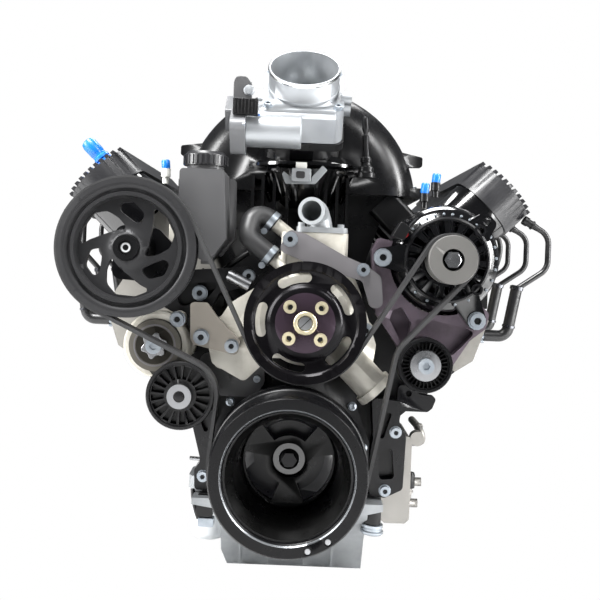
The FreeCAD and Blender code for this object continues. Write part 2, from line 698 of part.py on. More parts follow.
pad(crank, front(0, 0, -532), 12, toothed(20, 27, 24.5))
cam_gear = body("cam_sprocket", (0, cam_height, -528))
pad(cam_gear, 4, 12, toothed(40, 50, 47.5), circle(0, 0, 22.02), *[
    circle(x, z, 7) for x, z in spaced(5, 34, 90)])


def belt_loop(circles):
    """Tangent points and wire of a flat loop round circles (x, z, radius, turn).

    turn is +1 where the loop runs anticlockwise round a circle seen from the front, -1 where
    its back runs clockwise round one."""
    edges, starts, ends = [], [], []
    count = len(circles)
    for index in range(count):
        ax, az, ar, aturn = circles[index]
        bx, bz, br, bturn = circles[(index + 1) % count]
        run = math.hypot(bx - ax, bz - az)
        heading = math.atan2(bz - az, bx - ax)
        lean = math.asin((ar * aturn - br * bturn) / run)
        way = heading + lean
        ends.append((ax + ar * aturn * math.sin(way), az - ar * aturn * math.cos(way)))
        starts.append((bx + br * bturn * math.sin(way), bz - br * bturn * math.cos(way)))
    for index in range(count):
        x, z, radius, turn = circles[index]
        first, last = starts[index - 1], ends[index]
        a0 = math.atan2(first[1] - z, first[0] - x)
        a1 = math.atan2(last[1] - z, last[0] - x)
        sweep = (a1 - a0) * turn % (2 * math.pi) * turn
        middle = (x + radius * math.cos(a0 + sweep / 2), z + radius * math.sin(a0 + sweep / 2))
        corners = [Vector(px, 0, pz) for px, pz in (first, middle, last)]
        edges.append(Part.Arc(*corners).toShape())
        following = starts[index]
        edges.append(Part.LineSegment(corners[2], Vector(following[0], 0, following[1])).toShape())
    return Part.Wire(edges)


def band(circles, inside, thickness, width, y):
    """A flat loop: its inner face lies inside outside each circle's radius."""
    inner = belt_loop([(x, z, r + inside * turn, turn) for x, z, r, turn in circles])
    outer = belt_loop([(x, z, r + (inside + thickness) * turn, turn) for x, z, r, turn in circles])
    solid = Part.Face(outer).cut(Part.Face(inner)).extrude(Vector(0, width, 0))
    solid.translate(Vector(0, y, 0))
    return solid


feature("timing_chain", band([(0, 0, 27, 1), (0, float(cam_height), 50, 1)], 0.4, 6, 12, -544))

# ---------------------------------------------------------------- pistons
number = 0
for name, side in SIDES:
    for y in [float(spot) for spot in bores(side)]:
        number += 1
        piston = body(f"piston_{number}")
        x, z = bank_point(side, 176, 0)
        piston.Placement = at((x, y, z), Y.cross(Vector(side / ROOT2, 0, 1 / ROOT2)), Y)
        revolve(piston, [(0, 4), (38, 4), (44, -26), (bore_radius - 0.08, -26), (bore_radius - 0.08, 0),
                         (bore_radius - 3, 0), (bore_radius - 3, 1.5), (bore_radius - 0.08, 1.5),
                         (bore_radius - 0.08, 4.5), (bore_radius - 3, 4.5), (bore_radius - 3, 6),
                         (bore_radius - 0.08, 6), (bore_radius - 0.08, 12), (0, 12)])
        pad(piston, at((0, -40, -14), Z, X), 80, circle(0, 0, 12))

# ---------------------------------------------------------------- serpentine belt
belt_circles = [(0, 0, float(crank_pulley_r), 1),
                (float(idler_x), float(idler_z), float(idler_r), -1),
                (float(alt_x), float(alt_z), float(alt_pulley_r), 1),
                (float(water_x), float(water_z), float(water_pulley_r), -1),
                (float(steer_x), float(steer_z), float(steer_pulley_r), 1),
                (float(tension_x), float(tension_z), float(tension_r), -1)]


def serpentine(inner, outer, y0, width):
    """A layer of the belt between two heights above the tips of the pulley ribs."""
    def loop(height):
        sizes = []
        for x, z, radius, turn in belt_circles:
            under = height if turn > 0 else float(belt_thick) + 0.1 - height
            sizes.append((x, z, radius + under, turn))
        return belt_loop(sizes)

    solid = Part.Face(loop(outer)).cut(Part.Face(loop(inner))).extrude(Vector(0, width, 0))
    solid.translate(Vector(0, y0, 0))
    return solid


feature("serpentine_belt", serpentine(0.1, float(belt_thick), float(belt_front), float(belt_width)))

# ---------------------------------------------------------------- water pump
pump = body("water_pump_housing")
pad(pump, front(water_x, water_z, block_front - 54.3), 26, circle(0, 0, 58))
pad(pump, front(water_x, water_z, block_front - 70), 22, circle(0, 0, 27))
legs = [(-104, 118), (-62, 96), (-30, 128), (60, 128), (78, 100), (100, 104), (106, 150), (84, 214),
        (64, 262), (2, 262), (-40, 226), (-84, 196), (-112, 150)]
pad(pump, front(0, 0, block_front - 60.3), 14, rounded(legs, 8))
for side in (1, -1):
    for z in (122, 168):
        pad(pump, front(side * 92, z, block_front - 0.3), 70, circle(0, 0, 11))
pocket(pump, front(water_x, water_z, block_front - 96), 60, circle(0, 0, 8 + seal_gap))
pocket(pump, front(water_x, water_z, block_front - 54), 16, circle(0, 0, 44)).Reversed = True
pad(pump, at((35, -583, 250), X, Y), 41, box_outline(-56, -20, 30, 20, 8))
# the thermostat housing, leaning right and down under the pulley
down_right = Vector(1 / ROOT2, 0, 1 / ROOT2)
pad(pump, at((54, -599.9, 146), down_right, -Y), 70, circle(0, 0, 22))
pad(pump, at((102, -599.9, 98), down_right, -Y), 10, circle(0, 0, 26))
pocket(pump, at((112, -599.9, 88), down_right, -Y), 60, circle(0, 0, 17))
# two heater hose stubs and the bypass pipe on the left
up_left = Vector(-0.6, 0, -0.8)
pad(pump, at((2, -594, 232), Y, up_left), 49, circle(0, 0, 9))
pad(pump, at((2, -575, 277), Y, up_left), 49, circle(0, 0, 9))

impeller = body("water_pump_shaft", (water_x, water_z, 0))
pad(impeller, 580.5, 72.5, circle(0, 0, 8))
pad(impeller, 580.5, 3.2, circle(0, 0, 40))
pad(impeller, 583.5, 7, *[polygon([(10 * math.cos(a) - 1.5 * math.sin(a), 10 * math.sin(a) + 1.5 * math.cos(a)),
                                 (38 * math.cos(a + 0.58), 38 * math.sin(a + 0.58)),
                                 (38 * math.cos(a + 0.5), 38 * math.sin(a + 0.5)),
                                 (10 * math.cos(a) + 1.5 * math.sin(a), 10 * math.sin(a) - 1.5 * math.cos(a))])
                        for a in [math.radians(60 * k) for k in range(6)]])
pad(impeller, 640, 7.9, circle(0, 0, 34))

water_front = 651
water_pulley = body("water_pump_pulley", (water_x, water_z, 0))
revolve(water_pulley, [(8.05, 653.3), (42, 653.3), (48, 648), (62, 648), (66, 651.5), (75.5, 652),
                       (75.5, 650), (water_pulley_r, 649.3), (water_pulley_r, 626.8), (75, 626),
                       (75, 624), (68, 624), (68, 643), (48, 643), (40, 648), (8.05, 648)])
pocket(water_pulley, 660, 30, *[ring_slot(55.5, 6, start, start + 32)
                                for start in (-54, 18, 90, 162, 234)])
pad(water_pulley, 653, 2.5, circle(0, 0, 14.5), circle(0, 0, 8.05))
screws = [socket_bolt(float(water_x) + x, float(water_z) + z, -653.5, 8, 7, 12, 4)
          for x, z in spaced(4, 27.4, 45)]
feature("water_pump_screws", Part.makeCompound(screws))
pocket(water_pulley, 660, 30, *[circle(x, z, 4) for x, z in spaced(4, 27.4, 45)])
pocket(impeller, 660, 30, *[circle(x, z, 4) for x, z in spaced(4, 27.4, 45)])


def swept(path, radius):
    start = path.Edges[0]
    heading = start.tangentAt(start.FirstParameter)
    loop = Part.Wire(Part.makeCircle(radius, start.valueAt(start.FirstParameter), heading))
    return path.makePipeShell([loop], True, False)


def slab(points, z, thickness, radius=0):
    """A flat plate seen from above, with rounded corners."""
    shape = Part.Face(Part.makePolygon([Vector(x, y, z) for x, y in points + points[:1]])).extrude(
        Vector(0, 0, thickness))
    upright = [edge for edge in shape.Edges if abs(edge.tangentAt(edge.FirstParameter).z) > 0.99]
    return shape.makeFillet(radius, upright) if radius else shape


# the coolant outlet: flange on the pump's riser, elbow and beaded mouth facing forward
riser = route([(30, -583, 291), (24, -583, 318), (16, -618, 318)], 14)
mouth = Vector(16, -618, 318)
heading = (Vector(16, -618, 318) - Vector(24, -583, 318)).normalize()
bead = Part.makeCylinder(17.4, 4, mouth - heading * 4, heading)
flange = slab([(-2, -604), (64, -604), (64, -562), (-2, -562)], 291.3, 7, 8)
elbow = swept(riser, 16.2).fuse([flange, bead])
bore = swept(riser, 13).fuse(Part.makeCylinder(13, 10, mouth - heading * 2, heading))
studs = [rod((x, y, 291.3), (x, y, 304), 4.5) for x, y in ((56, -572), (4, -594))]
feature("coolant_outlet", elbow.cut(bore).common(Part.makeBox(200, 200, 100, Vector(-50, -700, 291.3)))
        .fuse(studs))

# ---------------------------------------------------------------- brackets and plates
front_plate = body("front_plate")
pad(front_plate, front(0, 0, -605.6), 7, rounded(
    [(-24, 266), (-12, 294), (10, 289), (60, 263), (90, 251), (108, 238), (112, 200), (96, 196),
     (84, 232), (40, 242)], 8))

alt_bracket = body("alternator_bracket")
pad(alt_bracket, front(0, 0, -574), 26, rounded(
    [(96, 272), (104, 288), (124, 284), (150, 232), (232, 212), (250, 196), (246, 176), (226, 160),
     (206, 128), (190, 100), (150, 96), (133, 150), (104, 190), (98, 230)],
    [4, 4, 4, 4, 4, 8, 8, 6, 6, 10, 10, 6, 6, 6]))
pocket(alt_bracket, front(0, 0, -640), 80, circle(alt_x, alt_z, 71.5))
pocket(alt_bracket, front(0, 0, -600), 15,
       rounded([(126, 196), (137, 200), (150, 180), (146, 152), (140, 150), (122, 184)], 3),
       rounded([(152, 186), (180, 184), (222, 176), (232, 170), (214, 150), (204, 140), (160, 172)], 4))
pad(alt_bracket, front(idler_x, idler_z, -600), 27, circle(0, 0, 14))
pocket(alt_bracket, front(idler_x, idler_z, -640), 60, circle(0, 0, 5.2))
pad(alt_bracket, front(0, 0, -525.3), 49, circle(140, 164, 12), circle(168, 118, 12))

left_bracket = body("steering_bracket")
pad(left_bracket, front(0, 0, -562), 20, rounded(
    [(-176, 222), (-146, 236), (-60, 244), (-48, 222), (-100, 208), (-112, 182), (-118, 136),
     (-150, 176), (-190, 196)], [8, 8, 8, 8, 6, 6, 4, 4, 6]))
pocket(left_bracket, front(0, 0, -582), 12, rounded([(-160, 214), (-96, 226), (-118, 196),
                                                     (-150, 188)], 6))
pocket(left_bracket, front(0, 0, -640), 100, circle(arm_x, arm_z, 43))
pad(left_bracket, front(-124, 184, -581), 20, circle(0, 0, 10))
pad(left_bracket, front(0, 0, -599.6), 7, rounded([(-134, 196), (-112, 196), (-100, 180), (-68, 148),
                                                   (-72, 130), (-128, 142), (-132, 150)], 5))
pad(left_bracket, front(0, 0, -525.3), 38, circle(-106, 196, 11), circle(-74, 226, 11))

lower_bracket = body("accessory_bracket")
pad(lower_bracket, front(0, 0, block_front - 0.3), 26, rounded(
    [(108, 74), (150, 70), (146, 44), (156, 22), (154, -48), (130, -60), (110, -58), (106, -20),
     (112, 20)], 7))
pocket(lower_bracket, front(0, 0, -551.3), 14, rounded([(118, 56), (136, 54), (126, 20), (120, 20)], 3),
       rounded([(120, 4), (138, 8), (142, -34), (122, -36)], 5))
pad(lower_bracket, front(0, 0, -534), 14, rounded(
    [(144, 92), (166, 92), (172, 80), (196, 78), (190, 62), (184, 57), (140, 57)], 5),
    circle(157.7, 80.9, 4.2))

idle_bracket = body("tensioner_bracket")
pad(idle_bracket, front(0, 0, block_front - 0.3), 26, rounded(
    [(-105.5, -59), (-126, -59), (-127, -31), (-119, -20), (-131, 24), (-140, 84), (-112, 84),
     (-105.5, 44)], [3, 5, 5, 8, 10, 5, 8, 8]))
pocket(idle_bracket, front(0, 0, -551.3), 14, rounded([(-113, 66), (-128, 70), (-120, 30), (-110, 4)], 3))

sensor_cover = body("sensor_cover")
pad(sensor_cover, front(0, 0, -577.6), 6, rounded(
    [(-122, 128), (-62, 134), (-38, 126), (-36, 92), (-50, 74), (-92, 74), (-122, 92)], 12))
pad(sensor_cover, front(0, 0, -583.6), 1.2, circle(-95.5, 100, 14))
pocket(sensor_cover, front(0, 0, -640), 100, circle(-92, 122, 11.4))

# ---------------------------------------------------------------- alternator
case = body("alternator_case", (alt_x, alt_z, 0))
revolve(case, [(0, 534), (40, 534), (58, 538), (66, 546), (70, 558), (70, 596), (64, 608), (52, 616),
               (30, 616), (30, 612), (8.45, 612), (8.45, 600), (48, 600), (60, 592), (60, 546), (0, 541)])
pocket(case, 620, 24, *[sector(34, 50, start, start + 15) for start in range(0, 360, 24)])
lugs = [(-82, 0), (40, -75.5), (49, 50)]
for x, z in lugs:
    run = math.hypot(x, z)
    side_x, side_z = -z / run, x / run
    inner_x, inner_z = x * 53 / run, z * 53 / run
    pad(case, 600.3, 14, rounded([(inner_x + side_x * 18, inner_z + side_z * 18),
                                  (x * 1.12 + side_x * 11, z * 1.12 + side_z * 11),
                                  (x * 1.12 - side_x * 11, z * 1.12 - side_z * 11),
                                  (inner_x - side_x * 18, inner_z - side_z * 18)], [0, 9, 9, 0]))
pocket(case, 640, 50, *[circle(x, z, 5.2) for x, z in lugs])

rotor = body("alternator_rotor", (alt_x, alt_z, 0))
revolve(rotor, [(0, 544), (8, 544), (8, 550), (52, 550), (52, 586), (12, 586), (12, 592), (8.4, 592),
                (8.4, 659), (0, 659)])
pad(rotor, 586, 3, circle(0, 0, 46))
blades = []
for x, z in spaced(11, 36):
    run = math.hypot(x, z)
    ux, uz, tx, tz = x / run, z / run, -z / run, x / run
    blades.append(polygon([(ux * 26, uz * 26), (ux * 45 + tx * 6, uz * 45 + tz * 6),
                           (ux * 45 + tx * 8.5, uz * 45 + tz * 8.5), (ux * 26 + tx * 3, uz * 26 + tz * 3)]))
pad(rotor, 588.9, 9, *blades)

alt_pulley = body("alternator_pulley", (alt_x, alt_z, 0))
revolve(alt_pulley, [(8.45, 618), (20, 618), (20, 626), (30.3, 626), (30.3, 626.8), (alt_pulley_r, 627.1),
                     (alt_pulley_r, 648.9), (30.3, 649.2), (30.3, 657), (29.5, 658), (13.5, 658),
                     (13.5, 648), (8.45, 648)])
cut_belt_grooves(alt_pulley, alt_pulley_r, 638)
pad(rotor, 648.3, 9, polygon(spaced(6, 11)))

# ---------------------------------------------------------------- idler and tensioner
def smooth_pulley(label, x, z, radius, hub, ribs_in, ribs_out, count):
    """A plastic back-side pulley: rim, hub and a ring of radial ribs between blind pockets."""
    made = body(label, (x, z, 0))
    revolve(made, [(hub, 627.6), (radius - 4, 627.6), (radius, 626.8), (radius, 649.2),
                   (radius - 1, 650.6), (radius - 4, 650.6), (radius - 5, 646.5), (hub + 7, 646.5),
                   (hub + 6, 649.5), (hub, 649.5)])
    step = 360 / count
    pocket(made, 647, 9, *[sector(ribs_in, ribs_out, step * row, step * row + step * 0.72)
                           for row in range(count)])
    return made


idler = smooth_pulley("idler_pulley", idler_x, idler_z, idler_r, 8.05, 20, 28, 32)
revolve(idler, [(8.05, 649), (19, 649), (19, 651), (8.05, 652)])
tensioner = body("tensioner_base", (arm_x, arm_z, 0))
revolve(tensioner, [(0, 552), (36, 552), (42, 558), (42, 597), (39.5, 600), (34, 600), (34, 592),
                    (7.95, 592), (7.95, 612), (0, 612)])
pad(tensioner, 540, 21.7, rounded([(-20, -44), (4, -46), (44, -14), (52, 30), (30, 44), (-14, 40)], 10))

pad(tensioner, 582.3, 17.7, circle(27, 34, 10))

arm = body("tensioner_arm", (arm_x, arm_z, 0))
reach_x, reach_z = float(tension_x) - float(arm_x), float(tension_z) - float(arm_z)
pad(arm, 592.6, 16, circle(0, 0, 33), circle(0, 0, 8))
reach = math.hypot(reach_x, reach_z)
lean_x, lean_z = reach_x / reach, reach_z / reach
pad(arm, 601, 7.6, rounded(
    [(-lean_z * 26, lean_x * 26), (reach_x - lean_z * 17 + lean_x * 14, reach_z + lean_x * 17 + lean_z * 14),
     (reach_x + lean_z * 17 + lean_x * 14, reach_z - lean_x * 17 + lean_z * 14),
     (lean_z * 26, -lean_x * 26)], [0, 13, 13, 0]), circle(0, 0, 8))
pad(arm, 608.5, 19, circle(reach_x, reach_z, 13))
pad(arm, 608.5, 41.2, circle(reach_x, reach_z, 8))
pad(arm, 649.6, 6, circle(reach_x, reach_z, 13))
star = []
for row in range(24):
    turn = math.radians(15 * row + 12)
    radius = 16 if row % 4 in (0, 1) else 12.5
    star.append((radius * math.cos(turn), radius * math.sin(turn)))
pad(arm, 608.5, 3, polygon(star), circle(0, 0, 8))
tensioner_pulley = smooth_pulley("tensioner_pulley", tension_x, tension_z, tension_r, 8.05, 20, 36, 20)

# ---------------------------------------------------------------- power steering
steer_pump = body("steering_pump", (steer_x, steer_z, 0))
revolve(steer_pump, [(0, 534), (26, 534), (32, 539), (34, 546), (34, 584), (28, 592), (20, 604),
                     (9.55, 604), (9.55, 560), (0, 560)])
pad(steer_pump, 583.3, 10, rounded([(-30, -40), (36, -44), (58, -30), (50, 6), (30, 26), (-26, 30)], 12))
pocket(steer_pump, 640, 80, circle(0, 0, 9.55))
steer_pulley = body("steering_pulley", (steer_x, steer_z, 0))
revolve(steer_pulley, [(5.5, 610), (14.5, 610), (14.5, 634), (66, 634), (66, 626), (86, 626),
                       (86, 626.8), (steer_pulley_r, 627.1), (steer_pulley_r, 648.9), (86, 649.2),
                       (86, 650), (75.5, 652), (73, 647), (70, 647), (68, 652), (64, 652), (62, 640),
                       (28, 640), (16, 644), (15.5, 654), (9, 654), (9, 652), (5.5, 652)])
cut_belt_grooves(steer_pulley, steer_pulley_r, 638)
pad(steer_pulley, 562, 48.5, circle(0, 0, 9.5))
pad(steer_pulley, 562, 90, circle(0, 0, 5.6))


def swirl(turn, spots):
    """A window outline from (radius, angle) points, turned about the hub."""
    return [(radius * math.cos(math.radians(angle + turn)), radius * math.sin(math.radians(angle + turn)))
            for radius, angle in spots]


for turn in (0, 120, 240):
    pocket(steer_pulley, 660, 40,
           rounded(swirl(turn, [(60, 180), (61, 160), (60, 137), (52, 121), (38, 108), (23, 92),
                                (26, 126), (34, 153), (48, 170)]), [3, 10, 8, 12, 20, 3, 16, 16, 8]),
           rounded(swirl(turn, [(56, 104), (57, 85), (47, 65), (31, 62), (36, 88), (46, 103)]),
                   [6, 8, 7, 5, 8, 6]))
tank = body("steering_reservoir")
pad(tank, front(0, 0, -550), 65, rounded(
    [(-153, 366), (-96, 366), (-91, 278), (-112, 248), (-126, 252), (-153, 296)],
    [5, 5, 5, 6, 6, 8]))
pad(tank, at((-124, -582, 365), X, Y), 7, circle(0, 0, 24))
pad(tank, front(0, 0, -542), 9, rounded([(-148, 360), (-86, 360), (-84, 280), (-104, 252),
                                         (-140, 300)], 5))
cap = body("reservoir_cap")
cap.Placement = at((-124, -582, 372.3), X, Y)
ridged = []
for row in range(48):
    turn = math.radians(360 / 48 * row)
    radius = 28.6 if row % 2 else 27.4
    ridged.append((radius * math.cos(turn), radius * math.sin(turn)))
pad(cap, 0, 14, polygon(ridged))
revolve(cap, [(0, 13.8), (26.8, 13.8), (24, 18), (0, 18)])
pad(tank, at((-118, -572, 245), X, Y), 12, circle(0, 0, 9))

# ---------------------------------------------------------------- hoses, clamps, pipes
feature("heater_hose", tube([(-30, -594, 256), (-66, -594, 283), (-58, -575, 322), (-30, -575, 301)],
                            13, 16, 9.3))

# ---------------------------------------------------------------- plugs, leads and boots
leads, boots, plugs = [], [], []
for name, side in SIDES:
    for y in [float(spot) - 44 for spot in bores(side)]:
        reach = 352 if side > 0 else -338
        leads.append(tube([(side * 317.2, y, 322.9), (reach, y, 304), (reach, y, 256),
                           (side * 309, y, 226)], 4, 22))
        boots.append(tube([(side * 309.6, y, 226.2), (side * 298, y, 159.6), (side * 266, y, 159.6)], 8, 14,
                          6.2))
        plugs.append(rod((side * 242, y, 159.6), (side * 274, y, 159.6), 6))

feature("plug_leads", Part.makeCompound([lead.fuse(boot) for lead, boot in zip(leads, boots)]))

# ---------------------------------------------------------------- oil cooler, fittings, caps
cooler = body("oil_cooler")
pad(cooler, front(0, 0, -430), 94.8, rounded(
    [(126.3, 12), (136, 18), (164, 18), (168, 12), (168, -96), (162, -102), (134, -102), (126.3, -96)], 4))
pad(cooler, front(0, 0, -505), 14, circle(176, 14, 10))

pad(cooler, at((160, -500, -50), Y, Z), 26, circle(0, 0, 6))
pad(cooler, at((160, -500, -80), Y, Z), 22, circle(0, 0, 6))

# ---------------------------------------------------------------- filler plug, breather caps, connectors
plug_spot = bank_point(-1, 422, -71)
plug_axis = Vector(-1 / ROOT2, 0, 1 / ROOT2)
plug_base = Vector(plug_spot[0], -450, plug_spot[1])
filler = Part.makeCylinder(10, 50, plug_base, plug_axis).fuse([
    Part.makeCylinder(12.4, 9, plug_base + plug_axis * 50, plug_axis),
    Part.makeCylinder(9, 26, plug_base + plug_axis * 59, plug_axis),
    Part.makeCylinder(5.5, 12, plug_base + plug_axis * 85, plug_axis)])
feature("filler_and_caps", filler)

# ---------------------------------------------------------------- bolts, clamps and spark plugs
hardware = list(plugs)
mounting_bolts = [
    # x, z, seat y, head radius, head height, shank, pieces drilled
    (-9.4, 281, -612.9, 8, 6, 16, (front_plate, pump)),
    (84.8, 246, -612.9, 7, 6, 10, (front_plate,)),
    (108.5, 262.7, -614.6, 9.5, 8, 30, (case, alt_bracket)),
    (230.5, 187.2, -614.6, 9.5, 8, 30, (case, alt_bracket)),
    (-124.9, 207, -582.3, 8.5, 7, 14, (left_bracket,)),
    (-150, 173, -600.3, 8.5, 7, 24, (tensioner, left_bracket)),
    (-62, 232, -582.3, 7, 6, 14, (left_bracket,)),
    (-118, 152, -606.9, 8.5, 7, 7, (left_bracket,)),
    (-79, 142, -606.9, 7.5, 6, 14, (left_bracket, pump)),
    (92, 168, -599.6, 8, 7, 30, (pump,)),
    (141.6, 29, -551.6, 6.8, 6, 14, (lower_bracket,)),
    (130, -50, -551.6, 6.8, 6, 14, (lower_bracket,)),
    (-115, -40, -551.6, 6.8, 6, 14, (idle_bracket,)),
    (-46, 98, -583.9, 4.5, 4, 5, (sensor_cover,))]
for x, z, y, radius, height, shank, drilled in mounting_bolts:
    hardware.append(socket_bolt(x, z, y, radius, height, shank, radius * 0.5))
    for owner in drilled:
        away = owner.Placement.Base
        pocket(owner, front(0, 0, y - 4) if away.Length < 1 else
               at((x - away.x, z - away.z, 4 - y), X, Y), shank + 6,
               circle(x if away.Length < 1 else 0, z if away.Length < 1 else 0, radius * 0.5 + 0.2))
hardware.append(socket_bolt(idler_x, idler_z, -652.6, 9.5, 6, 60, 5).fuse(
    Part.makeCylinder(7.99, 25.4, Vector(float(idler_x), -652.6, float(idler_z)), Y)))
hardware.append(socket_bolt(arm_x, arm_z, -612.3, 10, 6, 0.2, 5))
feature("steel_hardware", Part.makeCompound(hardware))

# ---------------------------------------------------------------- check and export
doc.recompute()
os.makedirs("parts", exist_ok=True)
for made in parts:
    bad = [word for word in made.State if word in ("Invalid", "Error")]
    if bad or made.Shape.isNull() or not made.Shape.isValid():
        raise RuntimeError(f"{made.Label}: {made.State}")
    if made.TypeId == "PartDesign::Body" and len(made.Shape.Solids) != 1:
        raise RuntimeError(f"{made.Label}: {len(made.Shape.Solids)} solids")
for item in doc.Objects:
    if "Invalid" in item.State or "Error" in item.State:
        raise RuntimeError(f"{item.Label}: {item.State}")
for made in parts:
    made.Shape.exportStep(f"parts/{made.Label}.step")
print(len(parts), "parts")
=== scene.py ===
# %% [markdown]
# # The looks of a dressed V8 engine
#
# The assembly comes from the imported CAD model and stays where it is.  This lesson gives every
# piece its finish, adds the small parts that repeat (screws, studs, clamps, fins) and then
# sets up the studio.  Everything is in metres, +Z up, and the front of the engine faces -Y.

# %% Load the assembly
import json
import math

import bmesh
import bpy
from mathutils import Matrix, Vector

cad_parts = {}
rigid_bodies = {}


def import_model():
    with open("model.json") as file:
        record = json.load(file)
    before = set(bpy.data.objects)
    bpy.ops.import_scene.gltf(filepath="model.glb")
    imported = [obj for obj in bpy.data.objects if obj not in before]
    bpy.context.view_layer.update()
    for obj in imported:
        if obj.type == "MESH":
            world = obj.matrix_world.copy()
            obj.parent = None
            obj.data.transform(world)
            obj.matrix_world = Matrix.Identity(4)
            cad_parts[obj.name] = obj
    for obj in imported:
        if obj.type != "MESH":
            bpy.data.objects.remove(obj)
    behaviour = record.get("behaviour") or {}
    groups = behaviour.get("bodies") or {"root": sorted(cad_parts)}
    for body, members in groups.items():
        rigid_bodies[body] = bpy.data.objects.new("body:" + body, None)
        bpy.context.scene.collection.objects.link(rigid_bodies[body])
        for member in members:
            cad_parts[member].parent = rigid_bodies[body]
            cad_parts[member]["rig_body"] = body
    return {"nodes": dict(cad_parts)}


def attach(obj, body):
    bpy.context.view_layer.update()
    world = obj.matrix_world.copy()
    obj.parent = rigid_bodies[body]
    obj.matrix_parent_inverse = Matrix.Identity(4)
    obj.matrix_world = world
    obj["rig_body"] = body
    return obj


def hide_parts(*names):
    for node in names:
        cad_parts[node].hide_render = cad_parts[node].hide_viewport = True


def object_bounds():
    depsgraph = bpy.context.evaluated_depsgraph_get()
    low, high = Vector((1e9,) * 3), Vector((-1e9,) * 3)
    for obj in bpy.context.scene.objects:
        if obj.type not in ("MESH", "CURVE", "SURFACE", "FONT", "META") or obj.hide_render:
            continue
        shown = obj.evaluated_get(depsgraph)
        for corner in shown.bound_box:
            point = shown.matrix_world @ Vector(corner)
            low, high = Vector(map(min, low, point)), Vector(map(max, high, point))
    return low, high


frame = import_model()
cad_low, cad_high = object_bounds()
MM = 0.001
BORE_SPACING = 111.76  # along the crankshaft, mm
BANK_STAGGER = 12  # how far each bank stands off the middle along the crankshaft, mm
CREASE = math.radians(32)  # edges sharper than this stay crisp
# Where the axes of the belt drive stand, as X and Z in mm.
PUMP, ALTERNATOR, STEERING = (13.5, 178.5), (190.5, 262.7), (-209.5, 262.0)
ARM, TENSION, IDLER = (-177.0, 139.0), (-136.5, 83.0), (162.6, 132.0)
print("nodes:", len(frame["nodes"]), "box from", tuple(cad_low), "to", tuple(cad_high))

# %% [markdown]
# ## Helpers for materials
#
# Colours are written as sRGB hex and turned into linear light by one function.  `add` makes one
# shader node with its settings and links, so that each material reads as a short recipe.

# %% Colour and node helpers


def linear(code):
    """An sRGB hex colour as linear RGBA."""
    values = [int(code[i:i + 2], 16) / 255 for i in (0, 2, 4)]
    return [v / 12.92 if v <= 0.04045 else ((v + 0.055) / 1.055) ** 2.4 for v in values] + [1.0]


def add(tree, kind, settings=None, **inputs):
    """One node: settings are its properties, inputs are values or the sockets that feed it."""
    made = tree.nodes.new(kind)
    for key, value in (settings or {}).items():
        setattr(made, key, value)
    for key, value in inputs.items():
        name = key.replace("_", " ")
        socket = made.inputs[int(key[1:])] if key[0] == "i" and key[1:].isdigit() else made.inputs[name]
        if isinstance(value, bpy.types.NodeSocket):
            tree.links.new(value, socket)
        else:
            socket.default_value = value
    return made


def ramp(tree, source, stops, smooth=False):
    """A colour ramp from (position, linear colour or grey) stops."""
    made = add(tree, "ShaderNodeValToRGB", i0=source)
    made.color_ramp.interpolation = "EASE" if smooth else "LINEAR"
    while len(made.color_ramp.elements) < len(stops):
        made.color_ramp.elements.new(0.5)
    for element, (position, colour) in zip(made.color_ramp.elements, stops):
        element.position = position
        element.color = colour if isinstance(colour, (list, tuple)) else (colour, colour, colour, 1)
    return made.outputs["Color"]


def material(name, base, metallic, roughness, grain=0.8, depth=0.02, blotch=0.08, coat=0.0,
             ior=1.5, wear=None, paint=None):
    """A finish: base colour, metallic and roughness with a grain (mm) and blotchy variation.

    grain is the size of the surface texture and depth its height, both in millimetres; blotch is
    how far the roughness wanders; paint(tree, coordinates) may return a colour for base."""
    made = bpy.data.materials.new(name)
    made.use_nodes = True
    tree = made.node_tree
    shader = tree.nodes["Principled BSDF"]
    where = add(tree, "ShaderNodeTexCoord").outputs["Object"]
    shader.inputs["Metallic"].default_value = metallic
    shader.inputs["IOR"].default_value = ior
    if coat:
        shader.inputs["Coat Weight"].default_value = coat
        shader.inputs["Coat Roughness"].default_value = 0.06
    broad = add(tree, "ShaderNodeTexNoise", Vector=where, Scale=28.0, Detail=4.0, Roughness=0.6)
    spread = add(tree, "ShaderNodeMapRange", Value=broad.outputs["Fac"], i1=0.3, i2=0.7,
                 i3=max(0.02, roughness - blotch), i4=min(1.0, roughness + blotch))
    tree.links.new(spread.outputs["Result"], shader.inputs["Roughness"])
    if depth:
        fine = add(tree, "ShaderNodeTexNoise", Vector=where, Scale=1000.0 / grain, Detail=3.0)
        bump = add(tree, "ShaderNodeBump", Height=fine.outputs["Fac"], Strength=1.0,
                   Distance=depth * MM)
        tree.links.new(bump.outputs["Normal"], shader.inputs["Normal"])
    if paint:
        tree.links.new(paint(tree, where), shader.inputs["Base Color"])
    elif wear:
        low, high = linear(base), linear(wear)
        mix = ramp(tree, broad.outputs["Fac"], [(0.35, low), (0.68, high)], True)
        tree.links.new(mix, shader.inputs["Base Color"])
    else:
        shader.inputs["Base Color"].default_value = linear(base)
    made.diffuse_color = linear(base)
    return made


# %% [markdown]
# ## The finishes
#
# An engine like this mixes cast aluminium, black powder coat, moulded nylon, zinc-plated
# fasteners and rubber.  Cast surfaces get a coarse grain, mouldings a fine one and machined faces
# almost none.

